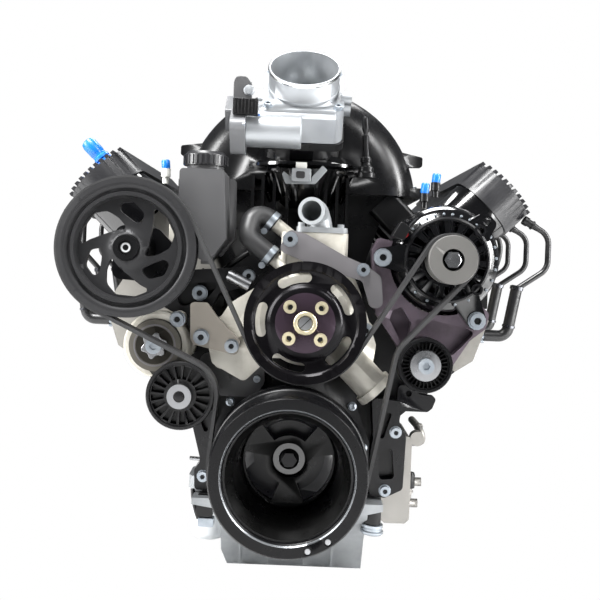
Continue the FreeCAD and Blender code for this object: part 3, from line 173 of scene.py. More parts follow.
# %% Materials
cast = material("aluminium, die cast", "C2BFB6", 0.35, 0.5, grain=1.6, depth=0.05, wear="ABA79C")
# A darker copy of the cast aluminium for the heads: painted shade for where they lie in shade. Its blotches
# are random tone.
cast_shade = material("aluminium, cast and darkened as painted shade", "807E79", 0.45, 0.5, grain=1.6,
                      depth=0.06, wear="76746F")
cast_grey = material("aluminium, sand cast grey", "8F9294", 0.5, 0.5, grain=1.2, depth=0.06,
                     wear="85888A")
machined = material("aluminium, machined", "D5D6D6", 1.0, 0.22, grain=0.5, depth=0.004, blotch=0.05)
throttle_cast = material("aluminium, fine cast and bright", "96999C", 0.7, 0.42, grain=0.9,
                         depth=0.015)
bracket_cast = material("aluminium, cast and lacquered purple-grey", "5A5059", 0.5, 0.42,
                        grain=1.3, depth=0.05, wear="463D44")
plate_grey = material("steel, grey painted", "615F61", 0.35, 0.45, grain=0.6, depth=0.01)
iron = material("cast iron, heat darkened", "3B3634", 0.7, 0.6, grain=1.5, depth=0.12,
                wear="4A4038")
steel = material("steel, forged and ground", "8F9092", 1.0, 0.3, grain=0.4, depth=0.004)
zinc = material("steel, zinc plated", "9AA0A6", 0.85, 0.38, grain=0.6, depth=0.006, wear="7F868D")
enamel = material("cast iron, black enamel", "0A0A0B", 0.0, 0.42, grain=1.4, depth=0.05,
                  ior=1.3)
# The balancer hub is black cast iron, made near-black as painted shade for the deep bowl inside it.
black_with_bowl_shade = material("cast iron, black with painted bowl shade", "040404", 0.0, 0.3, grain=1.8, depth=0.05, ior=1.3)
painted = material("steel, white enamel", "D4D7D9", 0.0, 0.3, grain=0.8, depth=0.004)
mid_grey = material("nylon, mid grey moulded", "58595B", 0.0, 0.4, grain=0.6, depth=0.015)
powder = material("steel, black powder coat", "08080A", 0.0, 0.3, grain=0.7, depth=0.012,
                  blotch=0.05, ior=1.33)
gloss = material("nylon, gloss black moulded", "060607", 0.0, 0.14, grain=2.5, depth=0.006,
                 blotch=0.05, coat=0.5)
cover_black = material("nylon, satin cover moulding", "1D1D1F", 0.0, 0.36, grain=0.9,
                       depth=0.03, blotch=0.06)
satin = material("nylon, satin black moulded", "09090A", 0.0, 0.36, grain=0.9, depth=0.03,
                 blotch=0.08, ior=1.36)
nylon = material("nylon, glass-filled black", "0B0B0C", 0.0, 0.3, grain=0.7, depth=0.02,
                 blotch=0.07, ior=1.38)
tank_grey = material("nylon, dark grey moulded", "3A3A3B", 0.0, 0.44, grain=0.6, depth=0.02)
rubber = material("EPDM rubber, belt", "171718", 0.0, 0.6, grain=0.4, depth=0.02)
hose_black = material("EPDM rubber, moulded hose", "1A1A1B", 0.0, 0.5, grain=0.8, depth=0.02)
silicone = material("silicone, black lead", "0E0E0F", 0.0, 0.35, grain=0.5, depth=0.01)
blue = material("nylon, blue moulded", "0C62B4", 0.0, 0.34, grain=0.8, depth=0.01)
white = material("nylon, white moulded", "C9C9C4", 0.0, 0.4, grain=0.6, depth=0.01)
cooler_cast = material("aluminium, cooler body", "8A8884", 0.8, 0.42, grain=1.2, depth=0.03)
gunmetal = material("steel, gunmetal boot", "55565A", 1.0, 0.22, grain=0.7, depth=0.005)
yellow_zinc = material("steel, yellow zinc plated", "BDB498", 0.85, 0.36, grain=0.6, depth=0.006)
# Black oxide on the crank bolt, sensor stem and tension bolt. The same dark finish is also painted shade in
# the bolt sockets, the pump screws' sockets and the pump shaft's slot.
dark_steel_and_socket_shade = material("steel, black oxide and painted socket shade", "1A1A1B", 0.7, 0.35, grain=0.6, depth=0.01)


def banded(name, centre, rows, roughness):
    """A turned piece with bands: rows of (radius from which, colour, metallic), centre in mm."""
    def paint(tree, where):
        moved = add(tree, "ShaderNodeVectorMath", {"operation": "SUBTRACT"}, i0=where,
                    i1=(centre[0] * MM, 0, centre[1] * MM))
        flat = add(tree, "ShaderNodeVectorMath", {"operation": "MULTIPLY"}, i0=moved.outputs[0],
                   i1=(10, 0, 10))
        away = add(tree, "ShaderNodeVectorMath", {"operation": "LENGTH"}, i0=flat.outputs[0])
        colours, metals = [], []
        for row, (radius, colour, metallic) in enumerate(rows):
            if row:
                start = radius / 100 - 0.002
                colours.append((start, colours[-1][1]))
                metals.append((start, metals[-1][1]))
            colours.append((radius / 100, linear(colour)))
            metals.append((radius / 100, metallic))
        metal = ramp(tree, away.outputs["Value"], metals)
        tree.links.new(metal, tree.nodes["Principled BSDF"].inputs["Metallic"])
        return ramp(tree, away.outputs["Value"], colours)
    return material(name, rows[-1][1], 0.3, roughness, grain=0.7, depth=0.006, blotch=0.05,
                    ior=1.25, paint=paint)


ring_black = banded("cast iron, black with bare bands", (0, 0), [
    (0, "050506", 0.0), (66.6, "8C8F92", 1.0), (67.8, "050506", 0.0), (79.0, "8C8F92", 1.0),
    (80.3, "050506", 0.0)], 0.28)
pump_pulley = banded("aluminium, anodised purple-black hub", PUMP, [
    (0, "2F262E", 0.5), (37.0, "0C0B0D", 0.5)], 0.24)
# The near-black band round the alternator's nut is painted shade in the pulley's recess.
alternator_face = banded("steel, grey with painted shade in the recess", ALTERNATOR, [
    (0, "8C8A86", 0.9), (7.0, "060606", 0.2), (13.6, "5C5B59", 0.5)], 0.42)
steering_face = banded("steel, satin grey with a bright bush", STEERING, [
    (0, "050505", 0.2), (3.9, "A4A5A6", 0.3), (6.0, "0C0C0D", 0.3), (16.6, "29292A", 0.4)], 0.38)
arm_face = banded("steel, arm with a bright hub", ARM, [
    (0, "2B2925", 0.6), (24.0, "5E5B55", 0.6), (33.2, "3A3936", 0.5)], 0.4)
idler_face = banded("nylon pulley with a steel washer", IDLER, [
    (0, "A9A7A2", 0.9), (12.6, "0A0A0B", 0.1)], 0.28)


def by_depth(tree, where):
    """Bare casting on the front plate, black behind it."""
    parts = add(tree, "ShaderNodeSeparateXYZ", Vector=where)
    depth = add(tree, "ShaderNodeMath", {"operation": "MULTIPLY"}, i0=parts.outputs["Y"], i1=-1.0)
    return ramp(tree, depth.outputs["Value"], [(0.5966, linear("08080A")), (0.5976, linear("8D877E"))])


two_tone = material("aluminium plate on a black bracket", "08080A", 0.2, 0.42, grain=1.2, depth=0.03,
                    ior=1.4, paint=by_depth)

# The timing cover's black powder coat is partly its own paint and partly painted shade behind the pulleys,
# so that the balancer's windows read dark.
finish_of = {
    "engine_block": enamel, "main_bearing_caps": iron, "oil_pan": cast_grey,
    "timing_cover": powder, "rear_cover": cast_grey, "cylinder_head_right": cast_shade,
    "cylinder_head_left": cast_shade, "valve_cover_right": gloss, "valve_cover_left": gloss,
    "coil_cover_right": cover_black, "coil_cover_left": cover_black, "oil_filter": painted,
    "tensioner_bracket": powder, "intake_manifold": nylon, "throttle_body": throttle_cast,
    "throttle_gear_case": mid_grey, "throttle_plate": machined, "timing_chain": steel,
    "serpentine_belt": rubber, "water_pump_housing": cast, "water_pump_shaft": steel,
    "water_pump_pulley": pump_pulley, "water_pump_screws": yellow_zinc, "coolant_outlet": cast_grey,
    "front_plate": plate_grey, "alternator_bracket": bracket_cast,
    "steering_bracket": two_tone, "accessory_bracket": powder, "sensor_cover": tank_grey,
    "alternator_case": gloss, "alternator_rotor": steel, "alternator_pulley": alternator_face,
    "idler_pulley": idler_face, "tensioner_base": cast, "tensioner_arm": arm_face,
    "tensioner_pulley": satin, "steering_pump": powder, "steering_pulley": steering_face,
    "steering_reservoir": tank_grey, "reservoir_cap": cover_black, "heater_hose": hose_black,
    "plug_leads": silicone, "oil_cooler": cooler_cast, "filler_and_caps": blue,
    "steel_hardware": zinc, "crankshaft": steel, "crank_bolt": dark_steel_and_socket_shade, "balancer_hub": black_with_bowl_shade,
    "balancer_rubber": rubber, "balancer_ring": ring_black, "camshaft": steel, "cam_sprocket": steel,
}
for number in range(1, 9):
    finish_of[f"piston_{number}"] = machined
print("finishes:", len(bpy.data.materials), "for", len(finish_of), "nodes")

# %% [markdown]
# ## Finished copies of the CAD nodes
#
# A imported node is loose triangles.  Each is shown through a copy whose doubles are merged, whose
# creases are marked by angle, so that curved faces read as smooth and machined edges stay crisp.
# The shape itself is untouched.

# %% Copy, merge and crease the nodes


def finished(name, finish):
    """A merged, creased copy of a CAD node that stands for it."""
    source = frame["nodes"][name]
    mesh = source.data.copy()
    mesh.name = name + "_finished"
    work = bmesh.new()
    work.from_mesh(mesh)
    bmesh.ops.remove_doubles(work, verts=work.verts, dist=0.002 * MM)
    bmesh.ops.dissolve_limit(work, angle_limit=0.002, verts=work.verts, edges=work.edges,
                             delimit={"NORMAL"})
    work.to_mesh(mesh)
    work.free()
    mesh.materials.clear()
    mesh.materials.append(finish)
    mesh.shade_smooth()
    mesh.set_sharp_from_angle(angle=CREASE)
    made = bpy.data.objects.new(name + "_finished", mesh)
    bpy.context.scene.collection.objects.link(made)
    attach(made, source["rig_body"])
    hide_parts(name)
    return made


shown = {name: finished(name, finish_of[name]) for name in sorted(frame["nodes"])}
print("nodes shown:", len(shown), "with", sum(len(one.data.polygons) for one in shown.values()), "faces")

# %% [markdown]
# ## Parts that repeat
#
# Screws, studs and fins are one unit shape set on many points by a Geometry Nodes tree.  Each
# point carries the way it faces and its size, so one tree serves every kind of fastener.

# %% Unit shapes and the tree that sets them out


def ring_points(count, radius, height):
    """Points on a level circle."""
    turns = [2 * math.pi * row / count for row in range(count)]
    return [(radius * math.cos(turn), radius * math.sin(turn), height) for turn in turns]


def stack(name, rings, close=True):
    """A mesh from rings of equally many points, each joined to the next, ends closed."""
    work = bmesh.new()
    rows = [[work.verts.new(point) for point in ring] for ring in rings]
    count = len(rows[0])
    for lower, upper in zip(rows, rows[1:]):
        for index in range(count):
            after = (index + 1) % count
            work.faces.new((lower[index], lower[after], upper[after], upper[index]))
    if close:
        work.faces.new(rows[0][::-1])
        work.faces.new(rows[-1])
    bmesh.ops.recalc_face_normals(work, faces=work.faces)
    made = bpy.data.meshes.new(name)
    work.to_mesh(made)
    work.free()
    made.shade_smooth()
    made.set_sharp_from_angle(angle=math.radians(30))
    return bpy.data.objects.new(name, made)


def socket_screw():
    """A cap screw of head radius 1 on a washer, hexagon socket in its face."""
    count = 24
    socket = [ring_points(6, 0.55, z) for z in (0.98, 0.5)]
    around = []
    for ring in socket:
        corners = [Vector(point) for point in ring]
        around.append([corners[row // 4].lerp(corners[(row // 4 + 1) % 6], row % 4 / 4)
                       for row in range(count)])
    rings = [ring_points(count, 1.35, 0), ring_points(count, 1.35, 0.16),
             ring_points(count, 1.0, 0.18), ring_points(count, 1.0, 0.94),
             ring_points(count, 0.92, 1.02)] + around
    return stack("socket screw", rings)


def flange_bolt():
    """A hexagon bolt of flange radius 1 with a chamfered head."""
    count = 24

    def hexagon(radius, z):
        corners = [Vector(point) for point in ring_points(6, radius, z)]
        return [corners[row // 4].lerp(corners[(row // 4 + 1) % 6], row % 4 / 4)
                for row in range(count)]
    rings = [ring_points(count, 1.0, 0), ring_points(count, 1.0, 0.12), hexagon(0.78, 0.2),
             hexagon(0.78, 0.72), hexagon(0.66, 0.8), ring_points(count, 0.4, 0.76)]
    return stack("flange bolt", rings)


def stud():
    """A low round-ended stud of radius 1 and height 2."""
    return stack("stud", [ring_points(12, r, z) for r, z in ((1, 0), (1, 1.6), (0.7, 2.0))])


def fin():
    """A rounded bar 1 long, 0.2 wide and 0.3 high, lying along X."""
    outline = [(-0.5, -0.1), (0.5, -0.1), (0.5, 0.1), (-0.5, 0.1)]
    levels = ((1, 0), (1, 0.24), (0.94, 0.3))
    return stack("fin", [[(x * k, y * k, z) for x, y in outline] for k, z in levels])


def setting_tree():
    """Geometry Nodes: a unit shape on every point, turned to face its way and sized."""
    tree = bpy.data.node_groups.new("set out", "GeometryNodeTree")
    face = tree.interface
    face.new_socket("Geometry", in_out="INPUT", socket_type="NodeSocketGeometry")
    face.new_socket("Unit", in_out="INPUT", socket_type="NodeSocketObject")
    face.new_socket("Size", in_out="INPUT", socket_type="NodeSocketFloat")
    face.new_socket("Finish", in_out="INPUT", socket_type="NodeSocketMaterial")
    face.new_socket("Geometry", in_out="OUTPUT", socket_type="NodeSocketGeometry")
    given = tree.nodes.new("NodeGroupInput")
    result = tree.nodes.new("NodeGroupOutput")
    unit = add(tree, "GeometryNodeObjectInfo", i0=given.outputs["Unit"])
    way = add(tree, "GeometryNodeInputNamedAttribute", {"data_type": "FLOAT_VECTOR"}, Name="facing")
    side = add(tree, "GeometryNodeInputNamedAttribute", {"data_type": "FLOAT_VECTOR"}, Name="along")
    size = add(tree, "GeometryNodeInputNamedAttribute", {"data_type": "FLOAT_VECTOR"}, Name="size")
    turn = add(tree, "FunctionNodeAxesToRotation", {"primary_axis": "Z", "secondary_axis": "X"},
               i0=way.outputs["Attribute"], i1=side.outputs["Attribute"])
    scale = add(tree, "ShaderNodeVectorMath", {"operation": "SCALE"}, i0=size.outputs["Attribute"],
                Scale=given.outputs["Size"])
    points = add(tree, "GeometryNodeInstanceOnPoints", Points=given.outputs["Geometry"],
                 Instance=unit.outputs["Geometry"], Rotation=turn.outputs["Rotation"],
                 Scale=scale.outputs["Vector"])
    real = add(tree, "GeometryNodeRealizeInstances", Geometry=points.outputs["Instances"])
    paint = add(tree, "GeometryNodeSetMaterial", Geometry=real.outputs["Geometry"],
                Material=given.outputs["Finish"])
    tree.links.new(paint.outputs["Geometry"], result.inputs["Geometry"])
    return tree


set_out = setting_tree()


def repeat(name, unit, spots, finish, on):
    """Sets a unit shape on spots of (place, facing, size or sizes[, along]), all in mm."""
    mesh = bpy.data.meshes.new(name)
    mesh.from_pydata([Vector(spot[0]) * MM for spot in spots], [], [])
    rows = {"facing": [], "along": [], "size": []}
    for spot in spots:
        facing = Vector(spot[1]).normalized()
        size = spot[2] if isinstance(spot[2], (tuple, list)) else (spot[2],) * 3
        along = Vector(spot[3]) if len(spot) > 3 else facing.orthogonal()
        rows["facing"] += list(facing)
        rows["along"] += list(along.normalized())
        rows["size"] += list(size)
    for key, values in rows.items():
        mesh.attributes.new(key, "FLOAT_VECTOR", "POINT").data.foreach_set("vector", values)
    carrier = bpy.data.objects.new(name, mesh)
    bpy.context.scene.collection.objects.link(carrier)
    modifier = carrier.modifiers.new("set out", "NODES")
    modifier.node_group = set_out
    sockets = {item.name: item.identifier for item in set_out.interface.items_tree
               if item.in_out == "INPUT"}
    modifier[sockets["Unit"]] = unit
    modifier[sockets["Size"]] = MM
    modifier[sockets["Finish"]] = finish
    bpy.context.view_layer.update()
    settled = bpy.context.evaluated_depsgraph_get()
    plain = bpy.data.meshes.new_from_object(carrier.evaluated_get(settled), depsgraph=settled)
    carrier.modifiers.clear()
    carrier.data = plain
    carrier.name = name
    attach(carrier, on)
    print(name, len(spots), "set out")
    return carrier


# %% [markdown]
# ## Shapes turned, extruded and bent
#
# Three ways of making the other small pieces: an outline turned about an axis, an outline pushed
# straight out, and a round bar bent along a route.  Every piece is placed in its mesh.

# %% Turned, extruded and bent pieces


def plane(origin, along, up):
    """A frame in mm: its X along, its Y up, its Z the normal they make."""
    x = Vector(along).normalized()
    y = Vector(up) - x * Vector(up).dot(x)
    y.normalize()
    turn = Matrix((x, y, x.cross(y))).transposed().to_4x4()
    return Matrix.Translation(Vector(origin) * MM) @ turn @ Matrix.Scale(MM, 4)


def on_axis(centre):
    """A frame on an axis that runs fore and aft, its Z pointing to the front of the engine."""
    return plane((centre[0], 0, centre[1]), (1, 0, 0), (0, 0, 1))


def facing_front(x, z, y):
    """A frame on a plane seen from the front: X right, Y up, Z toward the viewer."""
    return plane((x, y, z), (1, 0, 0), (0, 0, 1))


def facing(origin, way):
    """A frame whose Z points along way."""
    way = Vector(way).normalized()
    side = way.orthogonal()
    return plane(origin, side, way.cross(side))


def settle(name, mesh, place, finish, on, bevel=0.0):
    """Places a mesh, smooths it by angle, gives it its finish and lets it ride on a body."""
    mesh.transform(place)
    mesh.name = name
    mesh.materials.clear()
    mesh.materials.append(finish)
    mesh.shade_smooth()
    mesh.set_sharp_from_angle(angle=CREASE)
    made = bpy.data.objects.new(name, mesh)
    bpy.context.scene.collection.objects.link(made)
    if bevel:
        cut = made.modifiers.new("edges", "BEVEL")
        cut.width = bevel * MM
        cut.segments = 2
        cut.limit_method = "ANGLE"
        cut.angle_limit = math.radians(40)
    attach(made, on)
    return made


def turned(name, profile, place, finish, on="engine", count=48):
    """An outline of (radius, height) points in mm turned about the frame's Z."""
    rings = [ring_points(count, max(radius, 0.02), height) for radius, height in profile]
    return settle(name, stack(name, rings).data, place, finish, on)


def hollow(name, profile, place, finish, on="engine", count=48):
    """A closed outline turned about the frame's Z, such as a ring or a tube."""
    rings = [ring_points(count, radius, height) for radius, height in profile + profile[:1]]
    made = stack(name, rings, close=False).data
    work = bmesh.new()
    work.from_mesh(made)
    bmesh.ops.remove_doubles(work, verts=work.verts, dist=1e-4)
    bmesh.ops.recalc_face_normals(work, faces=work.faces)
    work.to_mesh(made)
    work.free()
    return settle(name, made, place, finish, on)


def soft_outline(points, radius):
    """An outline whose corners are rounded with short arcs."""
    ends = [Vector((x, y, 0)) for x, y in points]
    out, steps = [], 4
    for index, corner in enumerate(ends):
        before = ends[index - 1] - corner
        after = ends[(index + 1) % len(ends)] - corner
        reach = min(radius, before.length * 0.45, after.length * 0.45)
        first = corner + before.normalized() * reach
        last = corner + after.normalized() * reach
        for step in range(steps + 1):
            t = step / steps
            spot = first * (1 - t) ** 2 + corner * 2 * t * (1 - t) + last * t ** 2
            out.append((spot.x, spot.y))
    return out


def pushed(name, outline, height, place, finish, on="engine", radius=2.0, bevel=0.5):
    """An outline pushed out along the frame's Z."""
    points = soft_outline(outline, radius) if radius else outline
    rings = [[(x, y, z) for x, y in points] for z in (0, height)]
    return settle(name, stack(name, rings).data, place, finish, on, bevel)


def bent(name, points, radius, finish, on="engine"):
    """A round bar along a smooth route of points in mm."""
    line = bpy.data.curves.new(name, "CURVE")
    line.dimensions = "3D"
    line.bevel_depth = radius * MM
    line.bevel_resolution = 4
    line.resolution_u = 8
    line.use_fill_caps = True
    run = line.splines.new("NURBS")
    run.points.add(len(points) - 1)
    for point, spot in zip(run.points, points):
        point.co = [v * MM for v in spot] + [1.0]
    run.order_u = 3
    run.use_endpoint_u = True
    carrier = bpy.data.objects.new(name, line)
    bpy.context.scene.collection.objects.link(carrier)
    bpy.context.view_layer.update()
    settled = bpy.context.evaluated_depsgraph_get()
    mesh = bpy.data.meshes.new_from_object(carrier.evaluated_get(settled), depsgraph=settled)
    bpy.data.objects.remove(carrier)
    return settle(name, mesh, Matrix.Identity(4), finish, on)


def circle_spots(x, z, radius, count, y, start, end, size):
    """Spots for `repeat` spread over an arc of degrees about a fore-and-aft axis."""
    spots = []
    for row in range(count):
        turn = math.radians(start + (end - start) * row / (count - 1))
        spots.append(((x + radius * math.cos(turn), y, z + radius * math.sin(turn)), (0, -1, 0), size))
    return spots


def cos_sin(degrees):
    """The cosine and sine of an angle in degrees."""
    turn = math.radians(degrees)
    return math.cos(turn), math.sin(turn)


screw_unit, bolt_unit, stud_unit, fin_unit = socket_screw(), flange_bolt(), stud(), fin()
FRONT = (0, -1, 0)
print("unit shapes:", *(one.name for one in (screw_unit, bolt_unit, stud_unit, fin_unit)))

# %% [markdown]
# ## Throttle body and intake
#
# The throttle's rim is a bright turned ring with a rolled lip; its motor barrel ends in a cap with
# small screws.  Below it the intake shows a curved flange, a ribbed runner pack and the silver
# pressure sensor on its right shoulder.

# %% Throttle and intake pieces
lean = math.radians(41.5)
axis = Vector((0, -math.sin(lean), math.cos(lean)))
down = Vector((0, -math.cos(lean), -math.sin(lean)))
rim = Vector((0, -570, 510))
pushed("throttle_connector", [(-89, 437), (-57, 437), (-57, 457.5), (-89, 457.5)], 12,
       facing_front(0, 0, -604), satin, radius=1.5)
for row in range(7):
    pushed(f"throttle_connector_rib_{row + 1}", [(-87 + row * 4.4, 438), (-85.4 + row * 4.4, 438),
                                                 (-85.4 + row * 4.4, 456.5), (-87 + row * 4.4, 456.5)],
           1.2, facing_front(0, 0, -616), satin, radius=0, bevel=0.2)
pushed("throttle_case_lid", [(-90, 459), (-66, 459), (-66, 478), (-74, 488), (-86, 488), (-90, 482)], 3,
       facing_front(0, 0, -600), tank_grey, radius=3)
turned("throttle_case_knob", [(0, 0), (7, 0), (7, 3), (5.5, 5), (5.5, 8), (0, 9)],
       facing((-70, -600, 470), FRONT), throttle_cast)
hollow("throttle_lip", [(45.2, -5), (45.2, -1.0), (46.6, -0.3), (48.2, -0.9), (48.4, -2.4), (47.2, -3.6),
                        (47.2, -5)], plane(rim, (1, 0, 0), -down), machined)
hollow("throttle_band", [(47.05, -31), (48.3, -30), (48.3, -27), (47.05, -26)],
       plane(rim, (1, 0, 0), -down), throttle_cast)
barrel = rim - axis * 55 + down * 72
turned("motor_cap", [(21.9, 0), (21.9, 1.0), (20.5, 2.2), (0, 2.2)],
       facing(barrel + Vector((-3, 0, 0)), (1, 0, 0)), throttle_cast)
repeat("throttle_screws", screw_unit,
       [(barrel + Vector((-72.2, 0, 0)) - down * y + axis * a, (-1, 0, 0), 3.2)
        for y, a in ((-20, 21), (-20, -21), (40, 22), (40, -22), (88, 14), (88, -14))],
       zinc, "engine")
repeat("throttle_flange_screws", screw_unit,
       [(rim - axis * 33 + down * b + Vector((a, 0, 0)), tuple(axis), 5.0)
        for a, b in ((-46, -46), (46, -46), (-46, 46), (46, 46))], zinc, "engine")
hollow("throttle_stub", [(8.4, 0), (8.4, 14), (6.4, 14), (6.4, 0)],
       facing(rim - axis * 34 + down * 18 + Vector((50, 0, 0)), (1, 0, -0.05)), throttle_cast)
turned("throttle_dot", [(3.4, 0), (3.4, 0.5), (0, 0.6)],
       facing(barrel + Vector((-58, 0, 0)) - down * 4 + axis * 21.4, tuple(axis)), blue)
bowl = Vector((8, -456, 0))
turned("intake_bowl", [(0, 328), (44, 328), (56, 346), (66, 366), (74, 381), (84, 382), (88, 385), (88, 389),
                       (84, 392), (76, 393), (70, 400), (0, 402)],
       plane(bowl, (1, 0, 0), (0, 1, 0)), gloss, count=96)
fins = []
for turn in (-158, -148, -139, -131, -124, -112, -103, -77, -66, -55, -47, -39, -31, -22):
    out = Vector((*cos_sin(turn), 0))
    rise = (out * 24 + Vector((0, 0, 44))).normalized()
    fins.append((bowl + out * 60 + Vector((0, 0, 359)), tuple(rise.cross(out).cross(rise)),
                 (44, 14 if turn % 2 else 9, 26), tuple(rise)))
repeat("intake_fins", fin_unit, fins, gloss, "engine")
pushed("intake_bracket", [(-23, 374), (-12, 366), (-11.5, 359.5), (14.8, 360.5), (15, 367), (29, 383.5),
                          (36, 377.5), (20, 358), (-20, 357), (-25, 369)], 3,
       facing_front(0, 0, -548), cast_grey, radius=1.5)
pushed("intake_bracket_block", [(-12, 360), (14, 360), (14, 378), (-12, 378)], 8,
       facing_front(0, 0, -549), cast_grey, radius=2.5)
pushed("intake_bracket_eye", [(-6, 364.5), (6, 364.5), (6, 374), (-6, 374)], 0.6,
       facing_front(0, 0, -557), rubber, radius=3)
pushed("intake_plate", [(-7, 378.5), (8, 378.5), (8, 387), (-7, 387)], 1.0,
       facing_front(0, 0, -549), white, radius=0.8)
turned("sensor_base", [(0, 0), (13, 0), (13, 6), (10.5, 8), (10.5, 14), (7, 17), (6, 24), (0, 24)],
       facing((90, -522, 372), (-0.02, 0, 1)), satin)
turned("sensor_stem", [(0, 0), (7.6, 0), (7.6, 5), (5, 7), (4.2, 26), (4.6, 27), (4.6, 36), (2.6, 38),
                       (3.6, 42), (4.6, 44), (4.6, 60), (3.6, 62), (0, 62)],
       facing((89.4, -522, 394), (-0.05, 0, 1)), dark_steel_and_socket_shade)

# %% [markdown]
# ## Alternator, pulleys and balancer
#
# The alternator's shell carries thin radial spokes over its vents, slots round its waist and a
# ring of small studs.

# %% Alternator pieces
ax, az = ALTERNATOR
repeat("alternator_spokes", fin_unit,
       [((ax + 43 * c, -613, az + 43 * s), FRONT, (15, 7, 10), (c, 0, s))
        for c, s in [cos_sin(12 * k) for k in range(30)]],
       gloss, "engine")
repeat("alternator_waist", fin_unit,
       [((ax + 68.6 * c, -577, az + 68.6 * s), (c, 0, s), (30, 16, 9), (0, 1, 0))
        for c, s in [cos_sin(7.5 * k) for k in range(48)]],
       powder, "engine")
repeat("alternator_studs", stud_unit,
       circle_spots(ax, az, 63.5, 7, -607, -48, 30, 2.0) +
       circle_spots(ax, az, 58.5, 9, -611.5, 52, 140, 1.6) +
       circle_spots(ax, az, 57.5, 5, -611.5, 228, 300, 1.8), zinc, "engine")
hollow("alternator_rim", [(50.2, 615), (50.2, 617.6), (52.2, 618.4), (54.6, 617.2), (54.6, 614)],
       on_axis(ALTERNATOR), powder, count=96)
for row, (x, z) in enumerate(((40, 38.5), (38.5, -36), (-46, -6))):
    hollow(f"alternator_lug_{row + 1}", [(4.6, 612), (4.6, 619), (7.4, 619), (8.2, 612)],
           plane((ax + x, 0, az + z), (1, 0, 0), (0, 0, 1)), powder, count=32)
pushed("alternator_plug", [(-74, 26), (-58, 22), (-50, 38), (-62, 46)], 30,
       plane((ax, -606, az), (1, 0, 0), (0, 0, 1)), satin, radius=3)
red = material("nylon, red moulded", "8C1017", 0.0, 0.3, grain=0.8, depth=0.0)
turned("alternator_terminal", [(0, 0), (3.6, 0), (3.6, 5), (2.6, 6), (0, 6)],
       facing((ax - 52.4, -606, az + 29.6), FRONT), red)

# %% [markdown]
# ## Pulley centres and caps
#
# Each pulley is held at its middle by something of its own: a nose ring, four screws, a star on the
# tensioner's arm, a washer on the idler.  They are turned shapes that ride on the body that turns.
# The breathers end in blue caps.

# %% Washers, nose ring, hub screws and caps
hollow("balancer_nose_ring", [(13.4, 598.4), (21.0, 598.4), (21.4, 599), (21.4, 602.4), (20.6, 603),
                              (13.4, 603)], on_axis((0, 0)), gloss, on="crank")
for name, x, z in (("inner", 26.5, -84.2), ("outer", 49.9, -72.2)):
    turned("balance_plug_" + name, [(0, 0), (4.1, 0), (4.1, 4.6), (3.4, 5.2), (0, 5.4)],
           facing((x, -693, z), FRONT), steel, on="crank", count=24)
hollow("pump_boss_ring", [(9.4, 655.4), (14, 655.4), (14.4, 656), (14.4, 660.6), (13.4, 661.6),
                          (10.2, 661.6), (9.4, 660.4)],
       on_axis(PUMP), yellow_zinc, on="water_pump")
turned("pump_shaft_end", [(0, 0), (9, 0), (9, 3.6), (8, 4.6), (0, 4.8)],
       facing((13.5, -655.4, 178.5), FRONT), steel, on="water_pump")
# A dark sheet in the shaft's slot and dark discs in the screws' sockets are painted shade.
pushed("pump_shaft_slot", [(-7, -7.6), (7.6, 7), (7, 7.6), (-7.6, -7)], 0.15,
       facing_front(13.5, 178.5, -660.2), dark_steel_and_socket_shade, on="water_pump", radius=0, bevel=0)
repeat("pump_screw_sockets", stud_unit,
       [((PUMP[0] + 26 * c, -658.6, PUMP[1] + 26 * s), FRONT, (3.6, 3.6, 0.2))
        for c, s in [cos_sin(45 + 90 * k) for k in range(4)]], dark_steel_and_socket_shade, "water_pump")
star = []
for row in range(24):
    reach, (c, s) = 17 if row % 4 in (0, 1) else 13, cos_sin(15 * row + 12)
    star.append((reach * c, reach * s))
pushed("tensioner_star", star, 2.4, facing_front(-177, 139, -611.6), steel, on="arm", radius=2.5)
hollow("tensioner_ring", [(25.0, 608.7), (27.0, 608.7), (27.0, 609.4), (25.0, 609.4)],
       on_axis(ARM), plate_grey, on="arm", count=64)
hollow("tension_washer", [(7, 655.4), (14.6, 655.4), (15, 656), (15, 656.8), (7, 656.8)],
       on_axis(TENSION), steel, on="arm")
turned("tension_bolt", [(0, 0), (6.4, 0), (6.4, 2), (5.6, 2.4), (0, 2.4)],
       facing((-136.5, -655.6, 83), FRONT), dark_steel_and_socket_shade, on="arm", count=6)
hollow("idler_washer", [(9.8, 651.6), (18.4, 651.6), (18.8, 652.2), (18.8, 653.2), (9.8, 653.6)],
       on_axis(IDLER), steel, on="idler")
for name, x, z, tall in (("right_inner", 169.2, 352.2, 14), ("right_outer", 183.9, 367.6, 12),
                         ("left", -182.8, 371.8, 12)):
    turned("cap_stem_" + name, [(0, 0), (4.4, 0), (4.4, 8), (6.4, 9), (6.4, 20), (0, 20)],
           facing((x, -540, z - 20), (0, 0, 1)), white if x < 0 else satin, count=24)
    turned("cap_" + name, [(0, 0), (5.4, 0), (5.8, 1), (5.8, tall - 2), (4.8, tall), (0, tall)],
           facing((x, -540, z), (0.1 if x > 0 else -0.1, 0, 1)), blue, count=24)

turned("filler_grip", [(0, 60), (9.6, 60), (12.2, 61.5), (12.2, 65), (10.4, 67), (10.4, 72), (11, 73),
                       (11, 90), (9.4, 95), (5.5, 97), (0, 97.2)],
       facing((-248.2, -450, 348.6), (-1, 0, 1)), blue)

# %% [markdown]
# ## Cooler fittings, clamps and small plumbing
#
# Pipes and leads are round bars along a smooth route, since that is how tube is bent and how a
# lead lies between two fixings.  Clamps are thin rings with a screw housing at one side.

